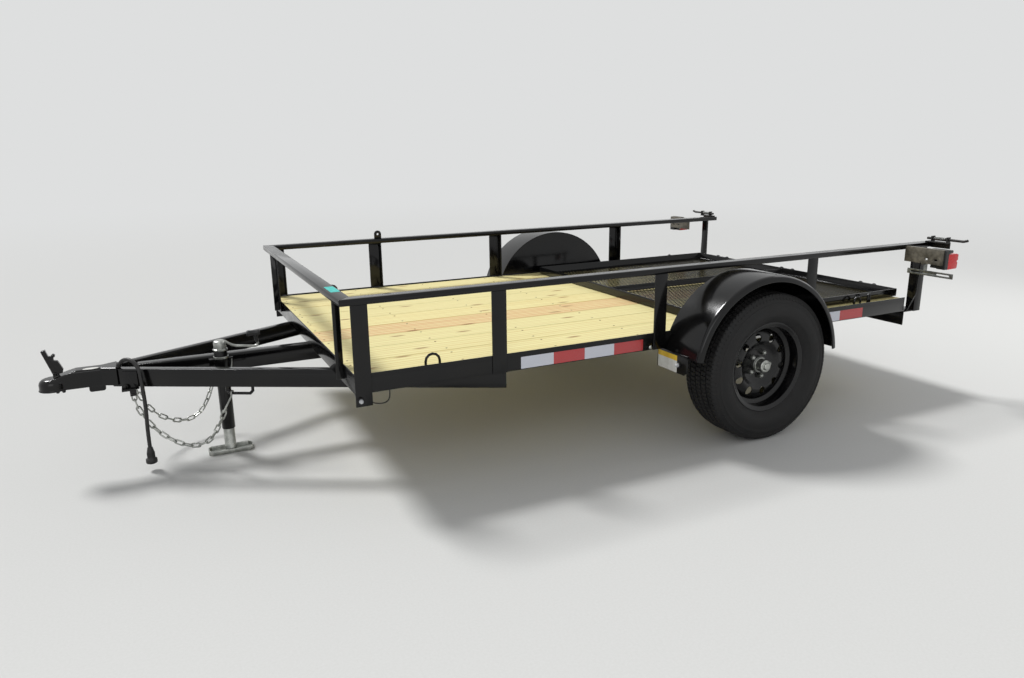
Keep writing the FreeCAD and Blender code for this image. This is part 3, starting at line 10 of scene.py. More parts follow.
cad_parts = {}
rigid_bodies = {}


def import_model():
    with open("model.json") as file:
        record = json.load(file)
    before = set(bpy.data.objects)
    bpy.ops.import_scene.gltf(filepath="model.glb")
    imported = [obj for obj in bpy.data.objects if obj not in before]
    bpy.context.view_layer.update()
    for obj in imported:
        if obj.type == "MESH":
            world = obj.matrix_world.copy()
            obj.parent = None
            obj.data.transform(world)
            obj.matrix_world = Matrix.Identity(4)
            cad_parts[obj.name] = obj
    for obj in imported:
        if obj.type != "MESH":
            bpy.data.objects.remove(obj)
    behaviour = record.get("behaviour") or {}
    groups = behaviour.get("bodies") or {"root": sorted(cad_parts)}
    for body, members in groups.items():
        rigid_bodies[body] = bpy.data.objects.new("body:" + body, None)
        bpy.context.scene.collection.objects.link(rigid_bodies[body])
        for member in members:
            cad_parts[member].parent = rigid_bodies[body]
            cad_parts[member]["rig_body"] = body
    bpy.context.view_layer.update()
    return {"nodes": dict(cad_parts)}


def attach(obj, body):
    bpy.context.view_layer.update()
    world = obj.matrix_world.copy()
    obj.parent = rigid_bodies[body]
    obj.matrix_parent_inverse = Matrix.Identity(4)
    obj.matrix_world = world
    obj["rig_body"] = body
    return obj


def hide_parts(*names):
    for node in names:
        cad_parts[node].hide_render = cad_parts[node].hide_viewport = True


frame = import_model()

# Lengths are in millimetres and X counts from the axle, as in the part's source
AXLE_X = -817.5      # the axle's own place in the frame
RAIL_FACE = 870      # outer face of the side rails
DECK_TOP = 511
DECK_HALF = 862.5    # half the width that the boards fill
BOARD_COUNT = 9
BOARD_PITCH = 191.94
HEART_BOARD = 5      # the board of reddish heartwood, where the outer one on the right is 0
WHEEL_OUT = 992      # a wheel's middle, out from the trailer's own
AXLE_UP = 342
LATCH_X, LATCH_Z = -1288, 825
JACK_X, JACK_Y = 2228, 62
SIDES = {-1: "right", 1: "left"}


def at(x, y, z):
    """A point counted in millimetres from the axle, in the frame's metres."""
    return Vector((x + AXLE_X, y, z)) / 1000


def linked(name, data):
    """A scene object around a mesh, curve, lamp or camera."""
    made = bpy.data.objects.new(name, data)
    bpy.context.scene.collection.objects.link(made)
    return made


def place_camera():
    """The camera stands and looks as the photograph's did."""
    yaw, pitch, roll = 0.452, 0.252, -0.012
    ahead = Vector((-math.sin(yaw) * math.cos(pitch), -math.cos(yaw) * math.cos(pitch), -math.sin(pitch)))
    right = Vector((-math.cos(yaw), math.sin(yaw), 0))
    up = right.cross(ahead)
    turned_right = right * math.cos(roll) + up * math.sin(roll)
    turned_up = up * math.cos(roll) - right * math.sin(roll)
    lens = bpy.data.cameras.new("camera")
    lens.sensor_width = 36
    lens.lens = 26.6
    lens.clip_end = 200
    camera = linked("camera", lens)
    camera.matrix_world = Matrix.Translation(at(2477.05, 3513.73, 1334.34)) @ Matrix(
        (turned_right, turned_up, -ahead)).transposed().to_4x4()
    bpy.context.scene.camera = camera


# Finishes

def linear(code):
    """A hex colour as linear red, green, blue and alpha."""
    parts = [int(code[k:k + 2], 16) / 255 for k in (1, 3, 5)]
    return [c / 12.92 if c <= 0.04045 else ((c + 0.055) / 1.055) ** 2.4 for c in parts] + [1]


def add(tree, kind, values=None, links=None, **settings):
    """A node with its settings, the values of its sockets and the links into them."""
    node = tree.nodes.new(kind)
    for name, value in settings.items():
        setattr(node, name, value)
    for socket, value in (values or {}).items():
        node.inputs[socket].default_value = value
    for socket, source in (links or {}).items():
        tree.links.new(source, node.inputs[socket])
    return node


def new_finish(name, **sockets):
    """A material, its node tree and its shader, with constants set on the shader's own sockets."""
    made = bpy.data.materials.new(name)
    made.use_nodes = True
    shader = made.node_tree.nodes["Principled BSDF"]
    for socket, value in sockets.items():
        shader.inputs[socket.replace("_", " ")].default_value = value
    return made, made.node_tree, shader


def mottled(name, colours, roughness, grain_mm, patch_mm, bump_mm, **sockets):
    """A finish of two colours in soft patches, with patches in its roughness and a fine grain in its bump."""
    made, tree, shader = new_finish(name, **sockets)
    place = add(tree, "ShaderNodeTexCoord").outputs["Object"]
    patch = add(tree, "ShaderNodeTexNoise", {"Scale": 1000 / patch_mm, "Detail": 5.0},
                {"Vector": place}).outputs[0]
    grain = add(tree, "ShaderNodeTexNoise", {"Scale": 1000 / grain_mm, "Detail": 2.0},
                {"Vector": place}).outputs[0]
    share = add(tree, "ShaderNodeMapRange", {"From Min": 0.38, "From Max": 0.68}, {"Value": patch}).outputs[0]
    colour = add(tree, "ShaderNodeMix", {6: linear(colours[0]), 7: linear(colours[1])}, {0: share},
                 data_type="RGBA").outputs[2]
    tree.links.new(colour, shader.inputs["Base Color"])
    rough = add(tree, "ShaderNodeMapRange", {"From Min": 0.3, "From Max": 0.7, "To Min": roughness[0],
                                             "To Max": roughness[1]}, {"Value": patch}).outputs[0]
    tree.links.new(rough, shader.inputs["Roughness"])
    bump = add(tree, "ShaderNodeBump", {"Strength": 0.5, "Distance": bump_mm / 1000}, {"Height": grain})
    tree.links.new(bump.outputs[0], shader.inputs["Normal"])
    return made


def pine_boards():
    """Planed southern yellow pine: pale straw boards, each a little different, with long grain and knots."""
    made, tree, shader = new_finish("treated_yellow_pine", IOR=1.45, Roughness=0.62)
    place = add(tree, "ShaderNodeTexCoord").outputs["Object"]

    # Each board has its number and a chance of its own, which moves its pattern
    across = add(tree, "ShaderNodeSeparateXYZ", links={0: place}).outputs["Y"]
    counted = add(tree, "ShaderNodeMath", {1: DECK_HALF / 1000}, {0: across}, operation="ADD").outputs[0]
    row = add(tree, "ShaderNodeMath", {1: 1000 / BOARD_PITCH}, {0: counted}, operation="MULTIPLY").outputs[0]
    board = add(tree, "ShaderNodeMath", links={0: row}, operation="FLOOR").outputs[0]
    chance = add(tree, "ShaderNodeTexWhiteNoise", links={"W": board}, noise_dimensions="1D").outputs
    shift = add(tree, "ShaderNodeVectorMath", {1: (9, 3, 5)}, {0: chance["Color"]},
                operation="MULTIPLY").outputs[0]
    moved = add(tree, "ShaderNodeVectorMath", links={0: place, 1: shift}, operation="ADD").outputs[0]

    # Growth rings drawn out along the board, and the fibres between them
    long = add(tree, "ShaderNodeMapping", {"Scale": (0.55, 9.0, 9.0)}, {0: moved}).outputs[0]
    rings = add(tree, "ShaderNodeTexWave",
                {"Scale": 1.3, "Distortion": 5.0, "Detail": 3.0, "Detail Scale": 1.2}, {"Vector": long},
                wave_type="BANDS", bands_direction="Y", wave_profile="SIN").outputs[0]
    grain = add(tree, "ShaderNodeMapRange", {"From Min": 0.25, "From Max": 1.0}, {"Value": rings}).outputs[0]
    straw = add(tree, "ShaderNodeMix", {6: linear("#F4EDB2"), 7: linear("#E0CA88")}, {0: grain},
                data_type="RGBA").outputs[2]
    fine = add(tree, "ShaderNodeMapping", {"Scale": (3.0, 240.0, 240.0)}, {0: moved}).outputs[0]
    fibre = add(tree, "ShaderNodeTexNoise", {"Scale": 1.0, "Detail": 6.0}, {"Vector": fine}).outputs[0]
    fibres = add(tree, "ShaderNodeMapRange", {"From Min": 0.35, "From Max": 0.75, "To Max": 0.6},
                 {"Value": fibre}).outputs[0]
    streaked = add(tree, "ShaderNodeMix", {7: linear("#D0B972")}, {0: fibres, 6: straw},
                   data_type="RGBA").outputs[2]

    # Boards differ in tone, and one is reddish heartwood
    tint = add(tree, "ShaderNodeMapRange", {"From Min": 0.1, "From Max": 0.9, "To Max": 0.35},
               {"Value": chance["Value"]}).outputs[0]
    varied = add(tree, "ShaderNodeMix", {7: linear("#E2DBA2")}, {0: tint, 6: streaked},
                 data_type="RGBA").outputs[2]
    heart = add(tree, "ShaderNodeMath", {1: HEART_BOARD, 2: 0.1}, {0: board}, operation="COMPARE").outputs[0]
    streak = add(tree, "ShaderNodeMapRange",
                 {"From Min": 0.3, "From Max": 0.9, "To Min": 0.25, "To Max": 0.85},
                 {"Value": rings}).outputs[0]
    heart_share = add(tree, "ShaderNodeMath", links={0: heart, 1: streak}, operation="MULTIPLY").outputs[0]
    toned = add(tree, "ShaderNodeMix", {7: linear("#D6A273")}, {0: heart_share, 6: varied},
                data_type="RGBA").outputs[2]

    # Knots, longer along the grain than across it
    spread = add(tree, "ShaderNodeMapping", {"Scale": (1.9, 6.5, 6.5)}, {0: moved}).outputs[0]
    spots = add(tree, "ShaderNodeTexVoronoi", {"Scale": 1.0, "Randomness": 1.0}, {"Vector": spread},
                voronoi_dimensions="2D").outputs[0]
    knot = add(tree, "ShaderNodeMapRange", {"From Min": 0.085, "From Max": 0.03, "To Max": 0.8},
               {"Value": spots}).outputs[0]
    knotted = add(tree, "ShaderNodeMix", {7: linear("#8A5A2C")}, {0: knot, 6: toned},
                  data_type="RGBA").outputs[2]
    tree.links.new(knotted, shader.inputs["Base Color"])
    bump = add(tree, "ShaderNodeBump", {"Strength": 0.35, "Distance": 0.0006}, {"Height": fibre})
    tree.links.new(bump.outputs[0], shader.inputs["Normal"])
    return made


def lens_red():
    """Moulded clear red acrylic: glossy, with a fine grid of prisms behind its face."""
    made, tree, shader = new_finish("red_acrylic_lens", IOR=1.49, Roughness=0.12, Coat_Weight=0.2)
    place = add(tree, "ShaderNodeTexCoord").outputs["Object"]
    cells = add(tree, "ShaderNodeTexVoronoi", {"Scale": 260.0, "Randomness": 0.0},
                {"Vector": place}).outputs[0]
    share = add(tree, "ShaderNodeMapRange", {"From Max": 0.7}, {"Value": cells}).outputs[0]
    colour = add(tree, "ShaderNodeMix", {6: linear("#EE1A26"), 7: linear("#BE0A14")}, {0: share},
                 data_type="RGBA").outputs[2]
    tree.links.new(colour, shader.inputs["Base Color"])
    bump = add(tree, "ShaderNodeBump", {"Strength": 0.5, "Distance": 0.0008}, {"Height": cells})
    tree.links.new(bump.outputs[0], shader.inputs["Normal"])
    return made


def reflective(name, code):
    """Prismatic reflective tape: a plastic film over small cells that catch the light."""
    made, tree, shader = new_finish(name, IOR=1.5, Roughness=0.22, Coat_Weight=0.5)
    place = add(tree, "ShaderNodeTexCoord").outputs["Object"]
    cells = add(tree, "ShaderNodeTexVoronoi", {"Scale": 330.0, "Randomness": 0.0}, {"Vector": place},
                feature="DISTANCE_TO_EDGE").outputs[0]
    edge = add(tree, "ShaderNodeMapRange", {"From Max": 0.09, "To Min": 0.35, "To Max": 0.0},
               {"Value": cells}).outputs[0]
    colour = add(tree, "ShaderNodeMix", {6: linear(code), 7: linear("#8F8F92")}, {0: edge},
                 data_type="RGBA").outputs[2]
    tree.links.new(colour, shader.inputs["Base Color"])
    bump = add(tree, "ShaderNodeBump", {"Strength": 0.2, "Distance": 0.0002}, {"Height": cells})
    tree.links.new(bump.outputs[0], shader.inputs["Normal"])
    return made


# Gloss black enamel sprayed on welded mild steel: deep black with a faint orange peel and thin dust
BLACK = mottled("gloss_black_enamel", ("#070709", "#100F0E"), (0.07, 0.2), 2.5, 160, 0.04, IOR=1.4)
# Black wheel paint: baked on, a little duller than the frame's enamel
WHEEL_BLACK = mottled("black_wheel_paint", ("#0A0A0C", "#151415"), (0.16, 0.3), 1.6, 60, 0.04, IOR=1.45)
# Chassis paint with road dust in it: a dull warm black on the axle, the springs and the latches
AXLE_BLACK = mottled("chassis_black_paint", ("#0E0E0E", "#1D1B18"), (0.4, 0.62), 2.0, 70, 0.1, IOR=1.45)
# Bright zinc plate: a little cloudy, as it comes out of the plating barrel
ZINC = mottled("bright_zinc_plate", ("#B9BBB6", "#8E908C"), (0.24, 0.42), 1.5, 25, 0.05, Metallic=1.0)
# Duller plated steel of the hubs, the bracket and the latch springs, scuffed in use
STEEL = mottled("scuffed_zinc_steel", ("#9A9C99", "#6F716E"), (0.32, 0.5), 1.5, 20, 0.06, Metallic=1.0)
# Carbon-black tyre compound: matt with a grey bloom
RUBBER = mottled("tyre_rubber", ("#141415", "#212020"), (0.6, 0.78), 1.2, 45, 0.08, IOR=1.42)
# Black PVC of the lead, its plug and the light wires: soft and half matt
VINYL = mottled("black_vinyl", ("#131313", "#1D1C1B"), (0.42, 0.55), 1.0, 30, 0.03, IOR=1.53)
# Black moulded ABS of the lamp bodies and the crank's grip: an even, low sheen
ABS = mottled("black_moulded_abs", ("#121213", "#1A1A1B"), (0.35, 0.5), 1.2, 40, 0.04, IOR=1.54)
# Clear polycarbonate over a bright cup: the small markers look pale grey from outside
CLEAR_LENS = mottled("clear_marker_lens", ("#C9CACB", "#9FA2A6"), (0.1, 0.2), 1.5, 6, 0.05, IOR=1.58)
# Enamel under a winter of road dust: brown-grey and dull, on the lamp plates
DUSTY = mottled("dusty_black_enamel", ("#4C483F", "#736D60"), (0.42, 0.62), 1.2, 30, 0.1, IOR=1.5)
# Printed white vinyl: a flat film with a slight sheen
LABEL_WHITE = mottled("white_vinyl_label", ("#E4E4DF", "#D6D5CE"), (0.32, 0.45), 0.8, 30, 0.02, IOR=1.5)
# The same film in warning yellow
LABEL_YELLOW = mottled("yellow_vinyl_label", ("#E8C233", "#D9AF24"), (0.32, 0.45), 0.8, 30, 0.02, IOR=1.5)
# A dab of turquoise marking paint: opaque, with uneven edges of tone
TURQUOISE = mottled("turquoise_paint_mark", ("#35C9C0", "#27AFA9"), (0.4, 0.55), 1.0, 15, 0.04, IOR=1.5)
# Tan ceramic coat of the deck screws: matt, close to the boards' own colour
TAN_COAT = mottled("tan_screw_coat", ("#8C7645", "#6E5B33"), (0.4, 0.55), 1.0, 12, 0.03, IOR=1.5)
# Planed yellow pine: pale straw boards with long grain, fine fibres and a few knots
PINE = pine_boards()
# Moulded red acrylic: a clear strong red with a gloss over its prisms
RED_LENS = lens_red()
# Prismatic tape: a cool white film with the faint mesh of its cells
WHITE_TAPE = reflective("white_reflective_tape", "#D9DCE6")
# The same tape in red
RED_TAPE = reflective("red_reflective_tape", "#C32B2E")

# The finish of each node that isn't gloss black
FINISHES = {node: finish for finish, nodes in (
    (PINE, ("deck_boards",)), (RED_LENS, ("lamps",)), (CLEAR_LENS, ("marker_lights",)),
    (ABS, ("lamp_housings",)), (DUSTY, ("lamp_plates",)), (RUBBER, ("tyre_left", "tyre_right")),
    (WHEEL_BLACK, ("rim_left", "rim_right")), (STEEL, ("hub_left", "hub_right", "licence_bracket")),
    (VINYL, ("light_wires", "cord_gland", "wiring_plug")),
    (ZINC, ("jack_leg", "jack_crank", "safety_chains")),
    (AXLE_BLACK, ("axle", "leaf_springs", "spring_hangers", "gate_latches"))) for node in nodes}


# Shapes and pieces

def mesh_of(shape, name):
    """The mesh of a bmesh whose work is done."""
    mesh = bpy.data.meshes.new(name)
    shape.to_mesh(mesh)
    shape.free()
    return mesh


def body_of(node):
    """The body that a node of the frame belongs to."""
    return frame["nodes"][node]["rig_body"]


def piece(name, shape, finish, body, replaced=(), angle=35):
    """Shows a bmesh or mesh as a piece that rides on a body and stands for the named nodes."""
    mesh = shape if isinstance(shape, bpy.types.Mesh) else mesh_of(shape, name)
    mesh.materials.clear()
    mesh.materials.append(finish)
    mesh.shade_smooth()
    mesh.set_sharp_from_angle(angle=math.radians(angle))
    made = linked(name, mesh)
    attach(made, body)
    if replaced:
        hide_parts(*replaced)
    return made


def copied(node, flat=False):
    """A node's shape, its doubles merged and, where asked, its triangles joined to flat faces."""
    shape = bmesh.new()
    shape.from_mesh(frame["nodes"][node].data)
    bmesh.ops.remove_doubles(shape, verts=shape.verts, dist=2e-5)
    if flat:
        bmesh.ops.dissolve_limit(shape, angle_limit=math.radians(0.5), verts=shape.verts, edges=shape.edges)
    return shape


def eased(node, finish, width):
    """A copy of a node with its edges rounded, which stands for it."""
    shape = copied(node, flat=True)
    edges = [e for e in shape.edges if len(e.link_faces) == 2 and e.calc_face_angle() > math.radians(30)]
    bmesh.ops.bevel(shape, geom=edges, offset=width / 1000, segments=2, profile=0.5, affect="EDGES",
                    clamp_overlap=True)
    piece(node + "_eased", shape, finish, body_of(node), (node,))


def lathe(profile, centre, axis, steps):
    """A closed shape from (distance along the axis, radius) points turned about an axis, in millimetres."""
    shape = bmesh.new()
    axis = Vector(axis).normalized()
    side = axis.orthogonal().normalized()
    rings = []
    for along, radius in profile:
        if radius < 1e-6:
            rings.append([shape.verts.new(centre + axis * along / 1000)])
            continue
        ring = []
        for k in range(steps):
            arm = Matrix.Rotation(2 * math.pi * k / steps, 3, axis) @ side
            ring.append(shape.verts.new(centre + axis * along / 1000 + arm * radius / 1000))
        rings.append(ring)
    for one, two in zip(rings, rings[1:] + ([] if len(rings[0]) == 1 else rings[:1])):
        for k in range(steps):
            m = (k + 1) % steps
            if len(one) == 1:
                shape.faces.new((one[0], two[k], two[m]))
            elif len(two) == 1:
                shape.faces.new((one[k], two[0], one[m]))
            else:
                shape.faces.new((one[k], two[k], two[m], one[m]))
    bmesh.ops.recalc_face_normals(shape, faces=shape.faces)
    return shape


def slab(outline, thick, ease_mm=0.0):
    """A closed shape from an outline of points and the same outline moved by a vector, its edges rounded."""
    shape = bmesh.new()
    low = [shape.verts.new(p) for p in outline]
    high = [shape.verts.new(Vector(p) + thick) for p in outline]
    shape.faces.new(low)
    shape.faces.new(list(reversed(high)))
    for k in range(len(low)):
        m = (k + 1) % len(low)
        shape.faces.new((low[m], low[k], high[k], high[m]))
    bmesh.ops.recalc_face_normals(shape, faces=shape.faces)
    if ease_mm:
        edges = [e for e in shape.edges if e.calc_face_angle() > math.radians(25)]
        bmesh.ops.bevel(shape, geom=edges, offset=ease_mm / 1000, segments=2, profile=0.5, affect="EDGES",
                        clamp_overlap=True)
    return shape


def tube(rings, closed=False):
    """A shape skinned over rings of as many points each, given in metres: a closed loop, or capped ends."""
    shape = bmesh.new()
    rows = [[shape.verts.new(p) for p in ring] for ring in rings]
    for one, two in zip(rows, rows[1:] + (rows[:1] if closed else [])):
        for k in range(len(one)):
            m = (k + 1) % len(one)
            shape.faces.new((one[k], one[m], two[m], two[k]))
    if not closed:
        shape.faces.new(rows[0])
        shape.faces.new(list(reversed(rows[-1])))
    bmesh.ops.recalc_face_normals(shape, faces=shape.faces)
    return shape


def rounded(half_a, half_b, radius, steps):
    """The corner-rounded outline of a rectangle, as pairs of millimetres."""
    points = []
    for a, b, first in ((1, 1, 0), (-1, 1, 90), (-1, -1, 180), (1, -1, 270)):
        for k in range(steps + 1):
            turn = math.radians(first + 90 * k / steps)
            points.append((a * (half_a - radius) + radius * math.cos(turn),
                           b * (half_b - radius) + radius * math.sin(turn)))
    return points


def wire_ring(spot, way, radius, wire):
    """A round ring of wire."""
    turns = [2 * math.pi * k / 12 for k in range(12)]
    return lathe([(wire * math.cos(a), radius + wire * math.sin(a)) for a in turns], spot, way, 28)


def joined(shapes):
    """Several shapes as one."""
    whole = bmesh.new()
    for shape in shapes:
        mesh = mesh_of(shape, "part_of_a_piece")
        whole.from_mesh(mesh)
        bpy.data.meshes.remove(mesh)
    return whole


def worked_out(holder):
    """The mesh that an object's curve or modifiers give, without the object."""
    mesh = bpy.data.meshes.new_from_object(holder.evaluated_get(bpy.context.evaluated_depsgraph_get()))
    bpy.data.objects.remove(holder)
    return mesh


def applied(mesh, *modifiers):
    """A mesh with modifiers, each a kind and its settings, worked into it."""
    holder = linked("holder", mesh)
    for kind, settings in modifiers:
        modifier = holder.modifiers.new(kind.lower(), kind)
        for name, value in settings.items():
            setattr(modifier, name, value)
    return worked_out(holder)


def softened(shape, voxel_mm, rounds):
    """A shape as if cast or forged: filled with small cells and smoothed until its edges are round."""
    bmesh.ops.remove_doubles(shape, verts=shape.verts, dist=2e-5)
    return applied(mesh_of(shape, "softened"), ("REMESH", {"mode": "VOXEL", "voxel_size": voxel_mm / 1000}),
                   ("SMOOTH", {"factor": 0.5, "iterations": rounds}))


def islands(shape):
    """The lists of vertices that hang together in a shape."""
    left = set(shape.verts)
    found = []
    while left:
        reached = [left.pop()]
        for vertex in reached:
            for edge in vertex.link_edges:
                other = edge.other_vert(vertex)
                if other in left:
                    left.remove(other)
                    reached.append(other)
        found.append(reached)
    return found


def repeat_tree():
    """Puts a unit on every point of a mesh, turned by the point's own attribute, and gives it a finish."""
    tree = bpy.data.node_groups.new("unit_on_points", "GeometryNodeTree")
    for name, kind in (("Points", "NodeSocketGeometry"), ("Unit", "NodeSocketObject"),
                       ("Finish", "NodeSocketMaterial")):
        tree.interface.new_socket(name, in_out="INPUT", socket_type=kind)
    tree.interface.new_socket("Geometry", in_out="OUTPUT", socket_type="NodeSocketGeometry")
    given = add(tree, "NodeGroupInput").outputs
    unit = add(tree, "GeometryNodeObjectInfo", links={"Object": given["Unit"]}).outputs["Geometry"]
    turn = add(tree, "GeometryNodeInputNamedAttribute", {"Name": "turn"},
               data_type="FLOAT_VECTOR").outputs[0]
    placed = add(tree, "GeometryNodeInstanceOnPoints",
                 links={"Points": given["Points"], "Instance": unit, "Rotation": turn}).outputs[0]
    real = add(tree, "GeometryNodeRealizeInstances", links={0: placed}).outputs[0]
    painted = add(tree, "GeometryNodeSetMaterial",
                  links={"Geometry": real, "Material": given["Finish"]}).outputs[0]
    add(tree, "NodeGroupOutput", links={0: painted})
    return tree


REPEAT = repeat_tree()


def repeated(name, shape, places, finish, body, replaced=(), angle=35):
    """A shape at every (point, turn) of a list, made one mesh with Geometry Nodes."""
    unit = linked(name + "_unit", mesh_of(shape, name + "_unit"))
    points = bpy.data.meshes.new(name)
    points.from_pydata([p for p, _ in places], [], [])
    turns = points.attributes.new("turn", "FLOAT_VECTOR", "POINT")
    turns.data.foreach_set("vector", [c for _, t in places for c in t])
    holder = linked(name + "_points", points)
    modifier = holder.modifiers.new("repeat", "NODES")
    modifier.node_group = REPEAT
    inputs = {s.name: s.identifier for s in REPEAT.interface.items_tree if s.in_out == "INPUT"}
    modifier[inputs["Unit"]] = unit
    modifier[inputs["Finish"]] = finish
    mesh = worked_out(holder)
    bpy.data.objects.remove(unit)
    return piece(name, mesh, finish, body, replaced, angle)


def round_line(name, points, radius_mm):
    """A round bar, wire or lead: a smooth curve through given points."""
    line = bpy.data.curves.new(name, "CURVE")
    line.dimensions = "3D"
    spline = line.splines.new("NURBS")
    spline.points.add(len(points) - 1)
    for point, place in zip(spline.points, points):
        point.co = (*place, 1)
    spline.order_u = 3
    spline.use_endpoint_u = True
    line.resolution_u = 12
    line.bevel_depth = radius_mm / 1000
    line.bevel_resolution = 6
    line.use_fill_caps = True
    return line


def mesh_line(points, radius_mm):
    """The same as a mesh."""
    return worked_out(linked("line", round_line("line", points, radius_mm)))


# The trailer's electric lead: the route's points are the part's own, in metres

CORD = [(1.8105, 0.0500, 0.4570), (1.8008, 0.0602, 0.4739), (1.7867, 0.0751, 0.4843),
        (1.7709, 0.0917, 0.4859), (1.7560, 0.1075, 0.4784), (1.7438, 0.1204, 0.4623),
        (1.7362, 0.1284, 0.4387), (1.7347, 0.1300, 0.4068), (1.7335, 0.1320, 0.3620),
        (1.7315, 0.1330, 0.3080), (1.7325, 0.1340, 0.2520), (1.7355, 0.1340, 0.1980),
        (1.7365, 0.1320, 0.1460), (1.7365, 0.1320, 0.1040)]


def electric_lead():
    """The lead that hangs over the tongue, with its plug and the plug's ribs."""
    line = round_line("electric_lead", CORD, 8)
    line.materials.append(VINYL)
    lead = linked("electric_lead", line)
    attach(lead, "trailer")
    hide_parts("wiring_cord")
    end = Vector(CORD[-1])
    profile = [(0, 0), (0, 9.5), (2, 11), (8, 12), (18, 14.2), (22, 15), (46, 15), (49, 16.5), (52, 21.8),
               (53.5, 22.8), (67, 22.8), (70, 21.6), (71.5, 19), (72, 17), (72, 14), (66, 13), (66, 0)]
    plug = piece("lead_plug", lathe(profile, end, (0, 0, -1), 48), VINYL, "trailer", ("wiring_plug",))
    rib = bmesh.new()
    bmesh.ops.create_cube(rib, size=1)
    bmesh.ops.scale(rib, vec=(0.0022, 0.0032, 0.022), verts=rib.verts)
    turns = [2 * math.pi * k / 16 for k in range(16)]
    places = [(end + Vector((0.0149 * math.cos(a), 0.0149 * math.sin(a), -0.034)), (0, 0, a)) for a in turns]
    ribs = repeated("plug_ribs", rib, places, VINYL, "trailer")


# The frame

def steel():
    """Every welded steel profile gets the small round edges of rolled and cut steel."""
    for node, width in (("side_rails", 1.5), ("front_header", 1.5), ("rear_header", 1.5),
                        ("crossmembers", 1.0), ("top_rail_sides", 2.5), ("top_rail_front", 2.5),
                        ("side_posts", 1.5), ("front_posts", 1.5), ("rear_posts", 1.5), ("rail_tab", 0.8),
                        ("tongue_arms", 1.5), ("tongue_beam", 1.5), ("fender_brackets", 1.0),
                        ("hinge_lugs", 1.0), ("gate_frame", 1.0), ("chain_bracket", 1.0),
                        ("jack_tube", 1.2), ("axle", 1.5), ("leaf_springs", 0.8), ("spring_hangers", 0.8),
                        ("gate_latches", 0.8), ("lamp_plates", 0.8), ("licence_bracket", 0.6),
                        ("jack_leg", 1.2), ("cord_gland", 1.0)):
        eased(node, FINISHES.get(node, BLACK), width)


def coupler_shape():
    """The coupler with the broad round shoulders of pressed sheet along its top."""
    shape = copied("coupler", flat=True)
    # The sharp long edges that run fore and aft, above 0.4 m and behind the nose
    shoulders = [e for e in shape.edges if len(e.link_faces) == 2 and e.calc_face_angle() > 1.2
                 and min(v.co.z for v in e.verts) > 0.4 and e.calc_length() > 0.03
                 and abs(e.verts[0].co.x - e.verts[1].co.x) > 0.6 * e.calc_length()
                 and max(v.co.x for v in e.verts) < 2.05]
    bmesh.ops.bevel(shape, geom=shoulders, offset=0.011, segments=5, profile=0.5, affect="EDGES")
    return shape


def castings():
    """The coupler, its lever and the bent tie-down loops are round all over."""
    for node, shape, voxel, rounds in (("coupler", coupler_shape(), 1.5, 8),
                                       ("coupler_latch", copied("coupler_latch"), 1.2, 6),
                                       ("tie_down_loops", copied("tie_down_loops"), 0.9, 4)):
        piece(node + "_rounded", softened(shape, voxel, rounds), BLACK, body_of(node), (node,), 60)


def fender(side):
    """A half-round fender: sheet, a soft outer corner, a lip with a rolled hem, and the wall at the rail."""
    middle_x, middle_z, wall_radius = 30, 354, 412
    first, last = math.radians(10.9), math.radians(174.4)
    section = [(0, 411), (0, 414), (214, 414), (222, 413), (229, 410), (233, 405), (235, 398), (235, 393),
               (236, 391), (236, 388), (234.5, 386), (231.5, 385.5), (229, 387), (228.5, 390), (230, 393),
               (232, 395), (232, 398), (230.5, 403), (227.5, 407), (222, 410), (214, 411)]
    rings = []
    for k in range(97):
        turn = first + (last - first) * k / 96
        rings.append([at(middle_x + r * math.cos(turn), side * (RAIL_FACE + y), middle_z + r * math.sin(turn))
                      for y, r in section])
    wall = []
    for k in range(61):
        turn = first + (math.pi - 2 * first) * k / 60
        wall.append(at(middle_x + wall_radius * math.cos(turn), side * (RAIL_FACE + 0.5),
                       middle_z + wall_radius * math.sin(turn)))
    whole = joined([tube(rings), slab(wall, Vector((0, side * 0.0025, 0)), 0.4)])
    piece("fender_sheet_" + SIDES[side], whole, BLACK, "trailer", ("fenders",), 40)


def gate_lattice():
    """Expanded steel: each row a bar that zigzags along Y and meets its neighbours at every bond."""
    pitch, bond, across, bar, deep, lift = 50.0, 7.0, 11.5, 3.0, 2.4, 0.8
    rear, row_count, panel_out, height = -1110, 109, 398.5, 522.6
    step = (across - bar + 0.3) / 2
    rings = []
    for k in range(15):
        y = -375 + k * pitch
        for middle, way in ((y, 1), (y + pitch / 2, -1)):
            for edge in (middle - bond / 2, middle + bond / 2):
                rings.append([Vector((way * step + a * bar / 2, edge, way * lift + b * deep / 2)) / 1000
                              for a, b in ((1, 1), (-1, 1), (-1, -1), (1, -1))])
    places = []
    for side in SIDES:
        for k in range(row_count):
            shift = pitch / 4 if k % 2 else -pitch / 4
            places.append((at(rear + k * across, side * panel_out + pitch / 4 + shift, height), (0, 0, 0)))
    repeated("gate_lattice", tube(rings), places, BLACK, body_of("gate_mesh"), ("gate_mesh",), 20)


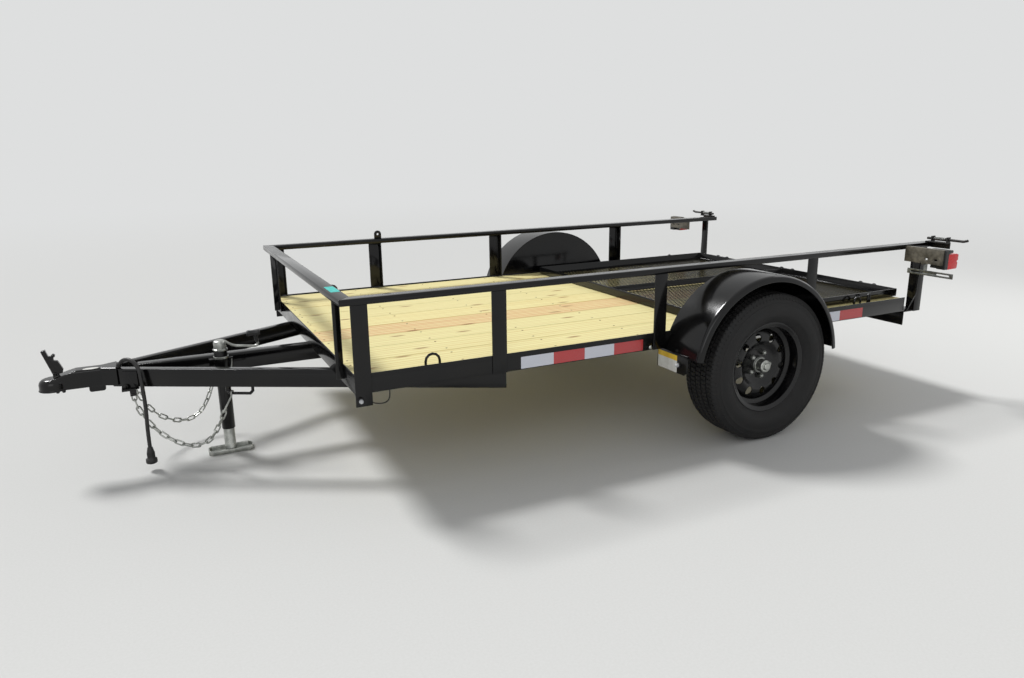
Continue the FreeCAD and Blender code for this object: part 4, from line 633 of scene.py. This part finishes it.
def chains():
    """Round-wire links where the part's own links are, and the hooks drawn round."""
    half, bend, wire = 13.0, 8.5, 3.3
    link, slack = (6, 23, 49), (1, 1.5, 1.5)
    shape = copied("safety_chains")
    places = []
    hooks = set()
    for found in islands(shape):
        spots = numpy.array([v.co[:] for v in found])
        middle = spots.mean(axis=0)
        axes = numpy.linalg.eigh(numpy.cov((spots - middle).T))[1]
        spans = [float(numpy.ptp((spots - middle) @ axes[:, k])) * 1000 for k in range(3)]
        if all(abs(span - usual) < off for span, usual, off in zip(spans, link, slack)):
            long, wide = Vector(axes[:, 2]), Vector(axes[:, 1])
            turn = Matrix((long, wide, long.cross(wide))).transposed().to_euler()
            places.append((Vector(middle), turn))
        else:
            hooks.update(found)
    bmesh.ops.delete(shape, geom=[v for v in shape.verts if v not in hooks], context="VERTS")
    rings = []
    for first, away in ((-90, half), (90, -half)):
        for k in range(8):
            turn = math.radians(first + 180 * k / 7)
            out = Vector((math.cos(turn), math.sin(turn), 0))
            middle = Vector((away + bend * math.cos(turn), bend * math.sin(turn), 0))
            rings.append([(middle + (out * math.cos(a) + Vector((0, 0, 1)) * math.sin(a)) * wire) / 1000
                          for a in (math.pi * n / 4 for n in range(8))])
    repeated("chain_links", tube(rings, closed=True), places, ZINC, "trailer", ("safety_chains",), 80)
    piece("chain_hooks", softened(shape, 0.9, 5), ZINC, "trailer", ("safety_chains",), 60)


# The wheels

def wheel(side):
    """The steel wheel with its ring of holes, the hub, five lug nuts, the grease cap and the valve."""
    holes, hole_circle, hole_radius, hole_stretch, first_hole = 10, 0.130, 16.5, 1.2, 8.5
    studs, stud_circle, first_stud, valve_turn = 5, 0.05715, 40.5, 17
    rim, hub = "rim_" + SIDES[side], "hub_" + SIDES[side]
    body = body_of(rim)
    centre = at(0, side * WHEEL_OUT, AXLE_UP)
    axis = Vector((0, side, 0))

    def around(turn, radius):
        """A point on a circle about the wheel's middle, in its plane."""
        return centre + Vector((math.cos(turn), 0, math.sin(turn))) * radius

    shell = [(-75, 206), (-74, 208.5), (-71, 209), (-69.5, 206), (-64, 191), (-28, 190), (-20, 172),
             (12, 172), (20, 190), (64, 191), (69.5, 206), (71, 209), (74, 208.5), (75, 206), (74, 202),
             (71, 197), (67, 187), (62, 186), (18, 186), (10, 168), (-18, 168), (-26, 186), (-62, 186),
             (-67, 187), (-71, 197), (-74, 202)]
    disc = [(8, 37.8), (8, 80), (10, 84), (10.5, 87), (13, 92), (23, 107), (25.5, 112), (26, 118),
            (25.8, 127), (24, 137), (17, 152), (15.5, 156), (13, 158), (9, 160), (5, 165), (4, 168.3),
            (-1, 168.3), (0, 164), (4, 157), (9, 154), (12, 149), (19, 136), (20.8, 127), (21, 119),
            (20, 113), (8, 95), (5, 88), (3, 82), (3, 37.8)]
    cutters = []
    for k in range(holes):
        turn = math.radians(first_hole + 360 / holes * k)
        cutter = lathe([(-40, 0), (-40, hole_radius), (60, hole_radius), (60, 0)], Vector(), axis, 40)
        bmesh.ops.scale(cutter, vec=(hole_stretch, 1, 1), verts=cutter.verts)
        bmesh.ops.rotate(cutter, matrix=Matrix.Rotation(-turn, 3, "Y"), verts=cutter.verts)
        bmesh.ops.translate(cutter, vec=around(turn, hole_circle), verts=cutter.verts)
        cutters.append(cutter)
    knife = linked("knife", mesh_of(joined(cutters), "knife"))
    dished = applied(mesh_of(lathe(disc, centre, axis, 120), "disc"),
                     ("BOOLEAN", {"object": knife, "operation": "DIFFERENCE", "solver": "EXACT"}))
    bpy.data.objects.remove(knife)
    whole = lathe(shell, centre, axis, 128)
    whole.from_mesh(dished)
    piece(rim + "_rolled", whole, WHEEL_BLACK, body, (rim,), 32)

    flange = [(-88, 17.1), (-88, 32), (-86, 34), (-20, 34), (-20, 69), (-19, 70), (2.5, 70), (3, 69.5),
              (3, 38), (20, 37.5), (22, 36), (22, 28), (14, 28), (14, 17.1)]
    piece(hub + "_turned", lathe(flange, centre, axis, 72), STEEL, body, (hub,), 30)
    cap = [(22.2, 0), (22.2, 33), (23, 34), (26, 34), (27, 33), (27.5, 30.5), (54, 30), (58, 29),
           (60.5, 26.5), (61.5, 22), (61, 18), (62, 16.5), (68, 16), (70, 14.5), (71, 11), (70.5, 8), (71, 0)]
    piece("grease_" + hub, lathe(cap, centre, axis, 72), ZINC, body, (hub,), 30)
    nut = joined([lathe([(8, 0), (8, 11.5), (9, 12.4), (23, 12.4), (25, 11), (25, 0)], Vector(),
                        (0, 0, 1), 6),
                  lathe([(22, 0), (22, 9.6), (26, 9.4), (29, 7.5), (31, 4), (31.4, 0)], Vector(),
                        (0, 0, 1), 16)])
    places = [(around(math.radians(first_stud + 360 / studs * k), stud_circle), (-side * math.pi / 2, 0, 0))
              for k in range(studs)]
    repeated("lug_nuts_" + hub, nut, places, ZINC, body, (hub,), 30)

    turn = math.radians(valve_turn)
    lean = Vector((-0.55 * math.cos(turn), side * 0.8, -0.55 * math.sin(turn))).normalized()
    foot = centre + Vector((0.165 * math.cos(turn), side * 0.030, 0.165 * math.sin(turn)))
    piece("valve_" + rim, lathe([(0, 0), (0, 8), (3, 8), (5, 5), (24, 4.2), (25, 0)], foot, lean, 20),
          RUBBER, body, (rim,), 30)
    piece("valve_cap_" + rim, lathe([(23, 0), (23, 4.8), (33, 4.4), (35, 3), (35, 0)], foot, lean, 20),
          ABS, body, (rim,), 30)


def tyre(side):
    """A trailer tyre: rounded shoulders, ribbed sidewalls and a tread of blocks in rows."""
    block_count = 104
    node = "tyre_" + SIDES[side]
    centre = at(0, side * WHEEL_OUT, AXLE_UP)
    half = [(63, 190.4), (66, 197), (71, 207), (80, 214), (88, 224), (95, 236), (96.5, 238), (98, 240),
            (100.5, 250), (102.3, 262), (102.5, 270), (101.5, 282), (99, 294), (99.8, 296), (99.2, 299),
            (97, 301), (95, 311), (92, 322), (90.5, 328), (86, 333), (76, 335)]
    profile = half + [(-y, r) for y, r in reversed(half)]
    piece(node + "_casing", lathe(profile, centre, (0, 1, 0), 128), RUBBER, body_of(node), (node,))
    block = bmesh.new()
    bmesh.ops.create_cube(block, size=1)
    bmesh.ops.scale(block, vec=(0.0175, 0.0262, 0.012), verts=block.verts)
    for v in block.verts:
        v.co.x += 0.12 * v.co.y
    bmesh.ops.bevel(block, geom=block.edges[:], offset=0.0012, segments=1, affect="EDGES", clamp_overlap=True)
    places = []
    # Each row: distance out from the tyre's middle, radius, lean in degrees and a step in blocks
    for y, radius, lean, step in ((-68, 334.5, 7, 0), (-85, 324.5, 58, 0.5), (85, 324.5, -58, 0.5),
                                  (-34, 336, 0, 0.5), (0, 336, 0, 0), (34, 336, 0, 0.5), (68, 334.5, -7, 0)):
        for k in range(block_count):
            around = Matrix.Rotation(2 * math.pi * (k + step) / block_count, 3, "Y")
            turn = around @ Matrix.Rotation(math.radians(lean), 3, "X")
            places.append((centre + around @ Vector((0, y / 1000, radius / 1000)), turn.to_euler()))
    repeated(node + "_tread", block, places, RUBBER, body_of(node), (node,))


# Lamps, wires and small parts

def lamp(side):
    """A combination lamp: a narrow foot on the plate, a back with a hood, and a red lens in two steps."""
    foot = [(-1095, 701), (-1095, 797), (-1113, 797), (-1113, 701)]
    back = [(-1112, 701), (-1112, 799), (-1146, 797), (-1150, 793), (-1150, 783), (-1120, 779), (-1120, 701)]
    lens = [(-1119, 777), (-1186, 776.5), (-1196, 773), (-1198, 767), (-1198, 744), (-1190, 741),
            (-1190, 736), (-1196, 733), (-1195, 707), (-1189, 701), (-1119, 699.5)]
    foot, back, lens = [
        slab([at(x, side * low, z) for x, z in outline], Vector((0, side * (high - low) / 1000, 0)), 1.8)
        for outline, low, high in ((foot, 1054, 1099), (back, 1009, 1099), (lens, 1013, 1096))]
    piece("lamp_housing_" + SIDES[side], joined([foot, back]), ABS, "trailer", ("lamp_housings",), 30)
    piece("lamp_lens_" + SIDES[side], lens, RED_LENS, "trailer", ("lamps",), 30)


def markers():
    """Small bullet markers, each a domed clear lens in a black grommet."""
    for side, name in SIDES.items():
        for what, spot, way in (("corner_marker_", at(1822, side * 876, 419), (0, side, 0)),
                                ("fender_marker_", at(443.3, side * 986, 394), (1, 0, 0))):
            lens = lathe([(0, 0), (0, 8.6), (10, 8.4), (15, 7.2), (18.5, 4.4), (19.6, 1.6), (19.8, 0)],
                         spot, way, 32)
            grommet = lathe([(0, 8), (0, 12.5), (2, 13), (4.5, 12.4), (6, 10.4), (6, 8)], spot, way, 32)
            piece(what + name, lens, CLEAR_LENS, "trailer", ("marker_lights",), 50)
            piece(what + "grommet_" + name, grommet, RUBBER, "trailer", ("marker_lights",), 40)


def coupler_parts():
    """The oval sticker, what hangs under the coupler, and the bracket's bolt ends."""
    turns = [math.pi * k / 18 for k in range(36)]
    oval = [at(2736 + 30 * math.cos(a), 19 + 13 * math.sin(a), 448.6) for a in turns]
    piece("coupler_sticker", slab(oval, Vector((0, 0, 0.0007))), LABEL_WHITE, "trailer")
    lobe = [at(2721 + a, -22, 362 + b) for a, b in rounded(31, 15, 9, 5)]
    under = [slab(lobe, Vector((0, 0.044, 0)), 3)]
    for x in (2843, 2865):
        under.append(lathe([(0, 0), (0, 7), (14, 7), (17, 5), (18, 0)], at(x, 24, 379), (0, 0, -1), 20))
    piece("coupler_clamp", joined(under), BLACK, "trailer")
    nuts = [lathe([(0, 0), (0, 10), (7, 10), (9, 7.5), (15, 7), (17, 5), (17, 0)], at(2611, side * 90, 372),
                  (0.48, side * 0.88, 0), 20) for side in SIDES]
    piece("bracket_bolts", joined(nuts), AXLE_BLACK, "trailer")


def latch_loops():
    """The rolled loops that hold each latch's bolt, and its spring between them."""
    turns, steps, coil_radius, first, length = 15, 12, 8.6, 896, 62
    for side, name in SIDES.items():
        loops = [wire_ring(at(LATCH_X, side * y, LATCH_Z), (0, 1, 0), 10.5, 3.6) for y in (884, 970)]
        piece("latch_loops_" + name, joined(loops), AXLE_BLACK, "trailer")
        coil = []
        for k in range(turns * steps + 1):
            turn = 2 * math.pi * k / steps
            coil.append(at(LATCH_X + coil_radius * math.cos(turn),
                           side * (first + length * k / (turns * steps)),
                           LATCH_Z + coil_radius * math.sin(turn)))
        piece("latch_spring_" + name, mesh_line(coil, 1.2), STEEL, "trailer", (), 60)


def jack_parts():
    """The jack's zinc cap, the crank rod out of it, the black grip, and the pin and collar at its mount."""
    cap = [(0, 0), (0, 31), (1, 31.5), (5, 31.5), (6.5, 30), (8, 27), (12, 26.5), (36, 26.3), (41, 24.5),
           (44, 20), (45, 12), (45, 0)]
    piece("jack_cap", lathe(cap, at(JACK_X, JACK_Y, 473), (0, 0, 1), 56), ZINC, "trailer", ("jack_crank",))
    route = [at(x, JACK_Y, z) for x, z in (
        (JACK_X, 512), (2219, 514), (2206, 511), (2190, 498), (2170, 486), (2140, 481), (2110, 477),
        (2090, 474), (2076, 474), (2068, 481), (2069, 492), (2070, 500))]
    piece("jack_crank_rod", mesh_line(route, 6), ZINC, "trailer", ("jack_crank",), 60)
    stem = lathe([(0, 0), (0, 7), (2, 8.5), (30, 9), (38, 9), (38, 0)], at(2070, JACK_Y, 491),
                 (0.2, 0, 1), 24)
    grip = lathe([(0, 0), (0, 9), (1.5, 11.5), (5, 13), (12, 13), (14, 12.3), (42, 12.3), (44, 13), (51, 13),
                  (54.5, 11.5), (56, 9), (56, 0)], at(2056, JACK_Y, 534), (1, 0, 0), 32)
    piece("jack_grip", joined([stem, grip]), ABS, "trailer", ("jack_crank",), 40)
    pin = [at(2191, 67, 386), at(2189, 68, 400), at(2187, 68, 414), at(2185, 67, 429)]
    piece("jack_pin", mesh_line(pin, 4), ZINC, "trailer", (), 60)
    collar = [(0, 28), (0, 31), (1, 32), (9, 32), (10, 31), (10, 28)]
    piece("jack_collar", lathe(collar, at(JACK_X, JACK_Y, 437), (0, 0, 1), 48), ZINC, "trailer")


def wires():
    """The marker's wire that sags under the rail, and the lamp's wire down its post, on both sides."""
    sag = [(1822, 869.7, 419), (1822, 866, 419), (1812, 863.4, 414), (1790, 863.4, 409), (1759, 863.4, 395),
           (1727, 863.4, 392), (1709, 863.4, 405), (1706, 863.4, 427), (1706, 863.4, 443)]
    drop = [(-1228, 879.3, 780), (-1222, 879.3, 690), (-1217, 879.3, 635), (-1215, 879.3, 571),
            (-1214, 879.3, 528), (-1193, 879.3, 502), (-1169, 877, 460), (-1159, 873.3, 443)]
    for side, name in SIDES.items():
        for what, points in (("marker_wire_", sag), ("lamp_wire_", drop)):
            route = [at(x, side * y, z) for x, y, z in points]
            piece(what + name, mesh_line(route, 2.5), VINYL, "trailer", ("light_wires",), 60)


def tapes_and_labels():
    """Reflective strips on both rails, the label on the bracket and the painter's mark on the top rail."""
    strips = [(1154, 1002, WHITE_TAPE, "_white_1"), (1002, 852, RED_TAPE, "_red_1"),
              (852, 704, WHITE_TAPE, "_white_2"), (704, 553, RED_TAPE, "_red_2"),
              (-508, -659, WHITE_TAPE, "_white_3"), (-659, -823, RED_TAPE, "_red_3")]
    for side, name in SIDES.items():
        for front, rear, finish, what in strips:
            outline = [at((front + rear) / 2 + a, side * RAIL_FACE, 472 + b)
                       for a, b in rounded((front - rear) / 2 - 0.2, 25, 1.5, 2)]
            piece("tape_" + name + what, slab(outline, Vector((0, side * 0.0004, 0))), finish, "trailer")
    for what, z, half_z, thick, finish in (("label_white", 394, 38.5, 0.3, LABEL_WHITE),
                                           ("label_yellow", 420.7, 11.8, 0.5, LABEL_YELLOW)):
        outline = [at(443.2, 905.5 + a, z + b) for a, b in rounded(67, half_z, 3, 4)]
        piece(what, slab(outline, Vector((thick / 1000, 0, 0))), finish, "trailer")
    mark = [at(1850 + a, 650 + b, 805) for a, b in rounded(18, 62, 4, 4)]
    piece("paint_mark", slab(mark, Vector((0, 0, 0.0003))), TURQUOISE, "trailer")


def screws_and_bolts():
    """Deck screws over every crossmember, and the zinc carriage bolts that show from outside."""
    head = lathe([(-1.5, 0), (-1.5, 4.6), (0.3, 4.8), (0.8, 4.2), (0.8, 1.6), (0.1, 1.2), (0.1, 0)], Vector(),
                 (0, 0, 1), 12)
    random.seed(7)
    places = []
    for k in range(BOARD_COUNT):
        middle = -DECK_HALF + BOARD_PITCH * (k + 0.5)
        for x in (1809, 1391, 973, 555, 137, -281, -699, -1093):
            for off in (-62, 62):
                spot = at(x + random.uniform(-4, 4), middle + off + random.uniform(-4, 4), DECK_TOP)
                places.append((spot, (0, 0, random.uniform(0, 3))))
    repeated("deck_screws", head, places, TAN_COAT, "trailer")
    bolt = lathe([(0, 0), (0, 9.5), (1.2, 9.4), (3.4, 7.5), (5, 4), (5.5, 0)], Vector(), (0, 0, 1), 20)
    places = []
    for side in SIDES:
        places += [(at(511, side * RAIL_FACE, 455), (-side * math.pi / 2, 0, 0)),
                   (at(1840, side * 702, 501), (0, math.pi / 2, 0))]
    repeated("carriage_bolts", bolt, places, ZINC, "trailer")


# Room and light

HAZE = "#DEDFDF"


def floor():
    """A pale floor that fades into the backdrop's colour far away."""
    shape = bmesh.new()
    bmesh.ops.create_circle(shape, cap_ends=True, segments=96, radius=60)
    made, tree, shader = new_finish("pale_floor", Roughness=0.9)
    place = add(tree, "ShaderNodeTexCoord").outputs["Object"]
    speckle = add(tree, "ShaderNodeTexNoise", {"Scale": 120.0, "Detail": 3.0}, {"Vector": place}).outputs[0]
    colour = add(tree, "ShaderNodeMix", {6: linear("#CBCBC8"), 7: linear("#D4D4D2")}, {0: speckle},
                 data_type="RGBA").outputs[2]
    tree.links.new(colour, shader.inputs["Base Color"])
    far = add(tree, "ShaderNodeVectorMath", links={0: place}, operation="LENGTH").outputs["Value"]
    fade = add(tree, "ShaderNodeMapRange", {"From Min": 3.0, "From Max": 16.0}, {"Value": far},
               interpolation_type="SMOOTHSTEP").outputs[0]
    seen = add(tree, "ShaderNodeLightPath").outputs
    shown = add(tree, "ShaderNodeMath", links={0: seen["Is Camera Ray"], 1: seen["Is Glossy Ray"]},
                operation="MAXIMUM").outputs[0]
    share = add(tree, "ShaderNodeMath", links={0: fade, 1: shown}, operation="MULTIPLY").outputs[0]
    haze = add(tree, "ShaderNodeEmission", {"Color": linear(HAZE), "Strength": 1.0})
    both = add(tree, "ShaderNodeMixShader", links={0: share, 1: shader.outputs[0], 2: haze.outputs[0]})
    tree.links.new(both.outputs[0], tree.nodes["Material Output"].inputs["Surface"])
    plane = linked("floor", mesh_of(shape, "floor"))
    plane.data.materials.append(made)


def lights():
    """A soft sun from ahead on the far side, and two broad lamps that fill the near side and the rear."""
    sun = bpy.data.lights.new("key", "SUN")
    sun.energy = 2.6
    sun.angle = math.radians(14)
    lamps = [(sun, (2.0, -3.5, 5.4))]
    for name, place, size, power in (("fill", (3.4, 5.4, 3.4), 4.0, 60), ("rear", (-5.0, 0.5, 3.0), 3.0, 35)):
        shining = bpy.data.lights.new(name, "AREA")
        shining.energy = power
        shining.size = size
        lamps.append((shining, place))
    for shining, place in lamps:
        light = linked(shining.name, shining)
        light.location = place
        light.rotation_euler = (Vector((0, 0, 0.4)) - Vector(place)).to_track_quat("-Z", "Y").to_euler()


def backdrop():
    """A dim pale sky that lights the scene, and a plain brighter one for the camera and for reflections."""
    world = bpy.data.worlds.new("studio")
    world.use_nodes = True
    bpy.context.scene.world = world
    tree = world.node_tree
    back = tree.nodes["Background"]
    back.inputs["Color"].default_value = linear("#E9EBEE")
    back.inputs["Strength"].default_value = 0.46
    bright = add(tree, "ShaderNodeBackground", {"Color": linear(HAZE), "Strength": 1.0})
    seen = add(tree, "ShaderNodeLightPath").outputs
    either = add(tree, "ShaderNodeMath", links={0: seen["Is Camera Ray"], 1: seen["Is Glossy Ray"]},
                 operation="MAXIMUM").outputs[0]
    shown = add(tree, "ShaderNodeMath", links={0: either, 1: seen["Is Transmission Ray"]},
                operation="MAXIMUM").outputs[0]
    both = add(tree, "ShaderNodeMixShader", links={0: shown, 1: back.outputs[0], 2: bright.outputs[0]})
    tree.links.new(both.outputs[0], tree.nodes["World Output"].inputs["Surface"])


place_camera()
electric_lead()
for node, made in frame["nodes"].items():
    made.data.materials.clear()
    made.data.materials.append(FINISHES.get(node, BLACK))
steel()
castings()
for side in (1, -1):
    tyre(side)
    wheel(side)
    lamp(side)
    fender(side)
gate_lattice()
chains()
markers()
coupler_parts()
latch_loops()
jack_parts()
wires()
tapes_and_labels()
screws_and_bolts()
floor()
lights()
backdrop()
bpy.context.scene.view_settings.view_transform = "Standard"
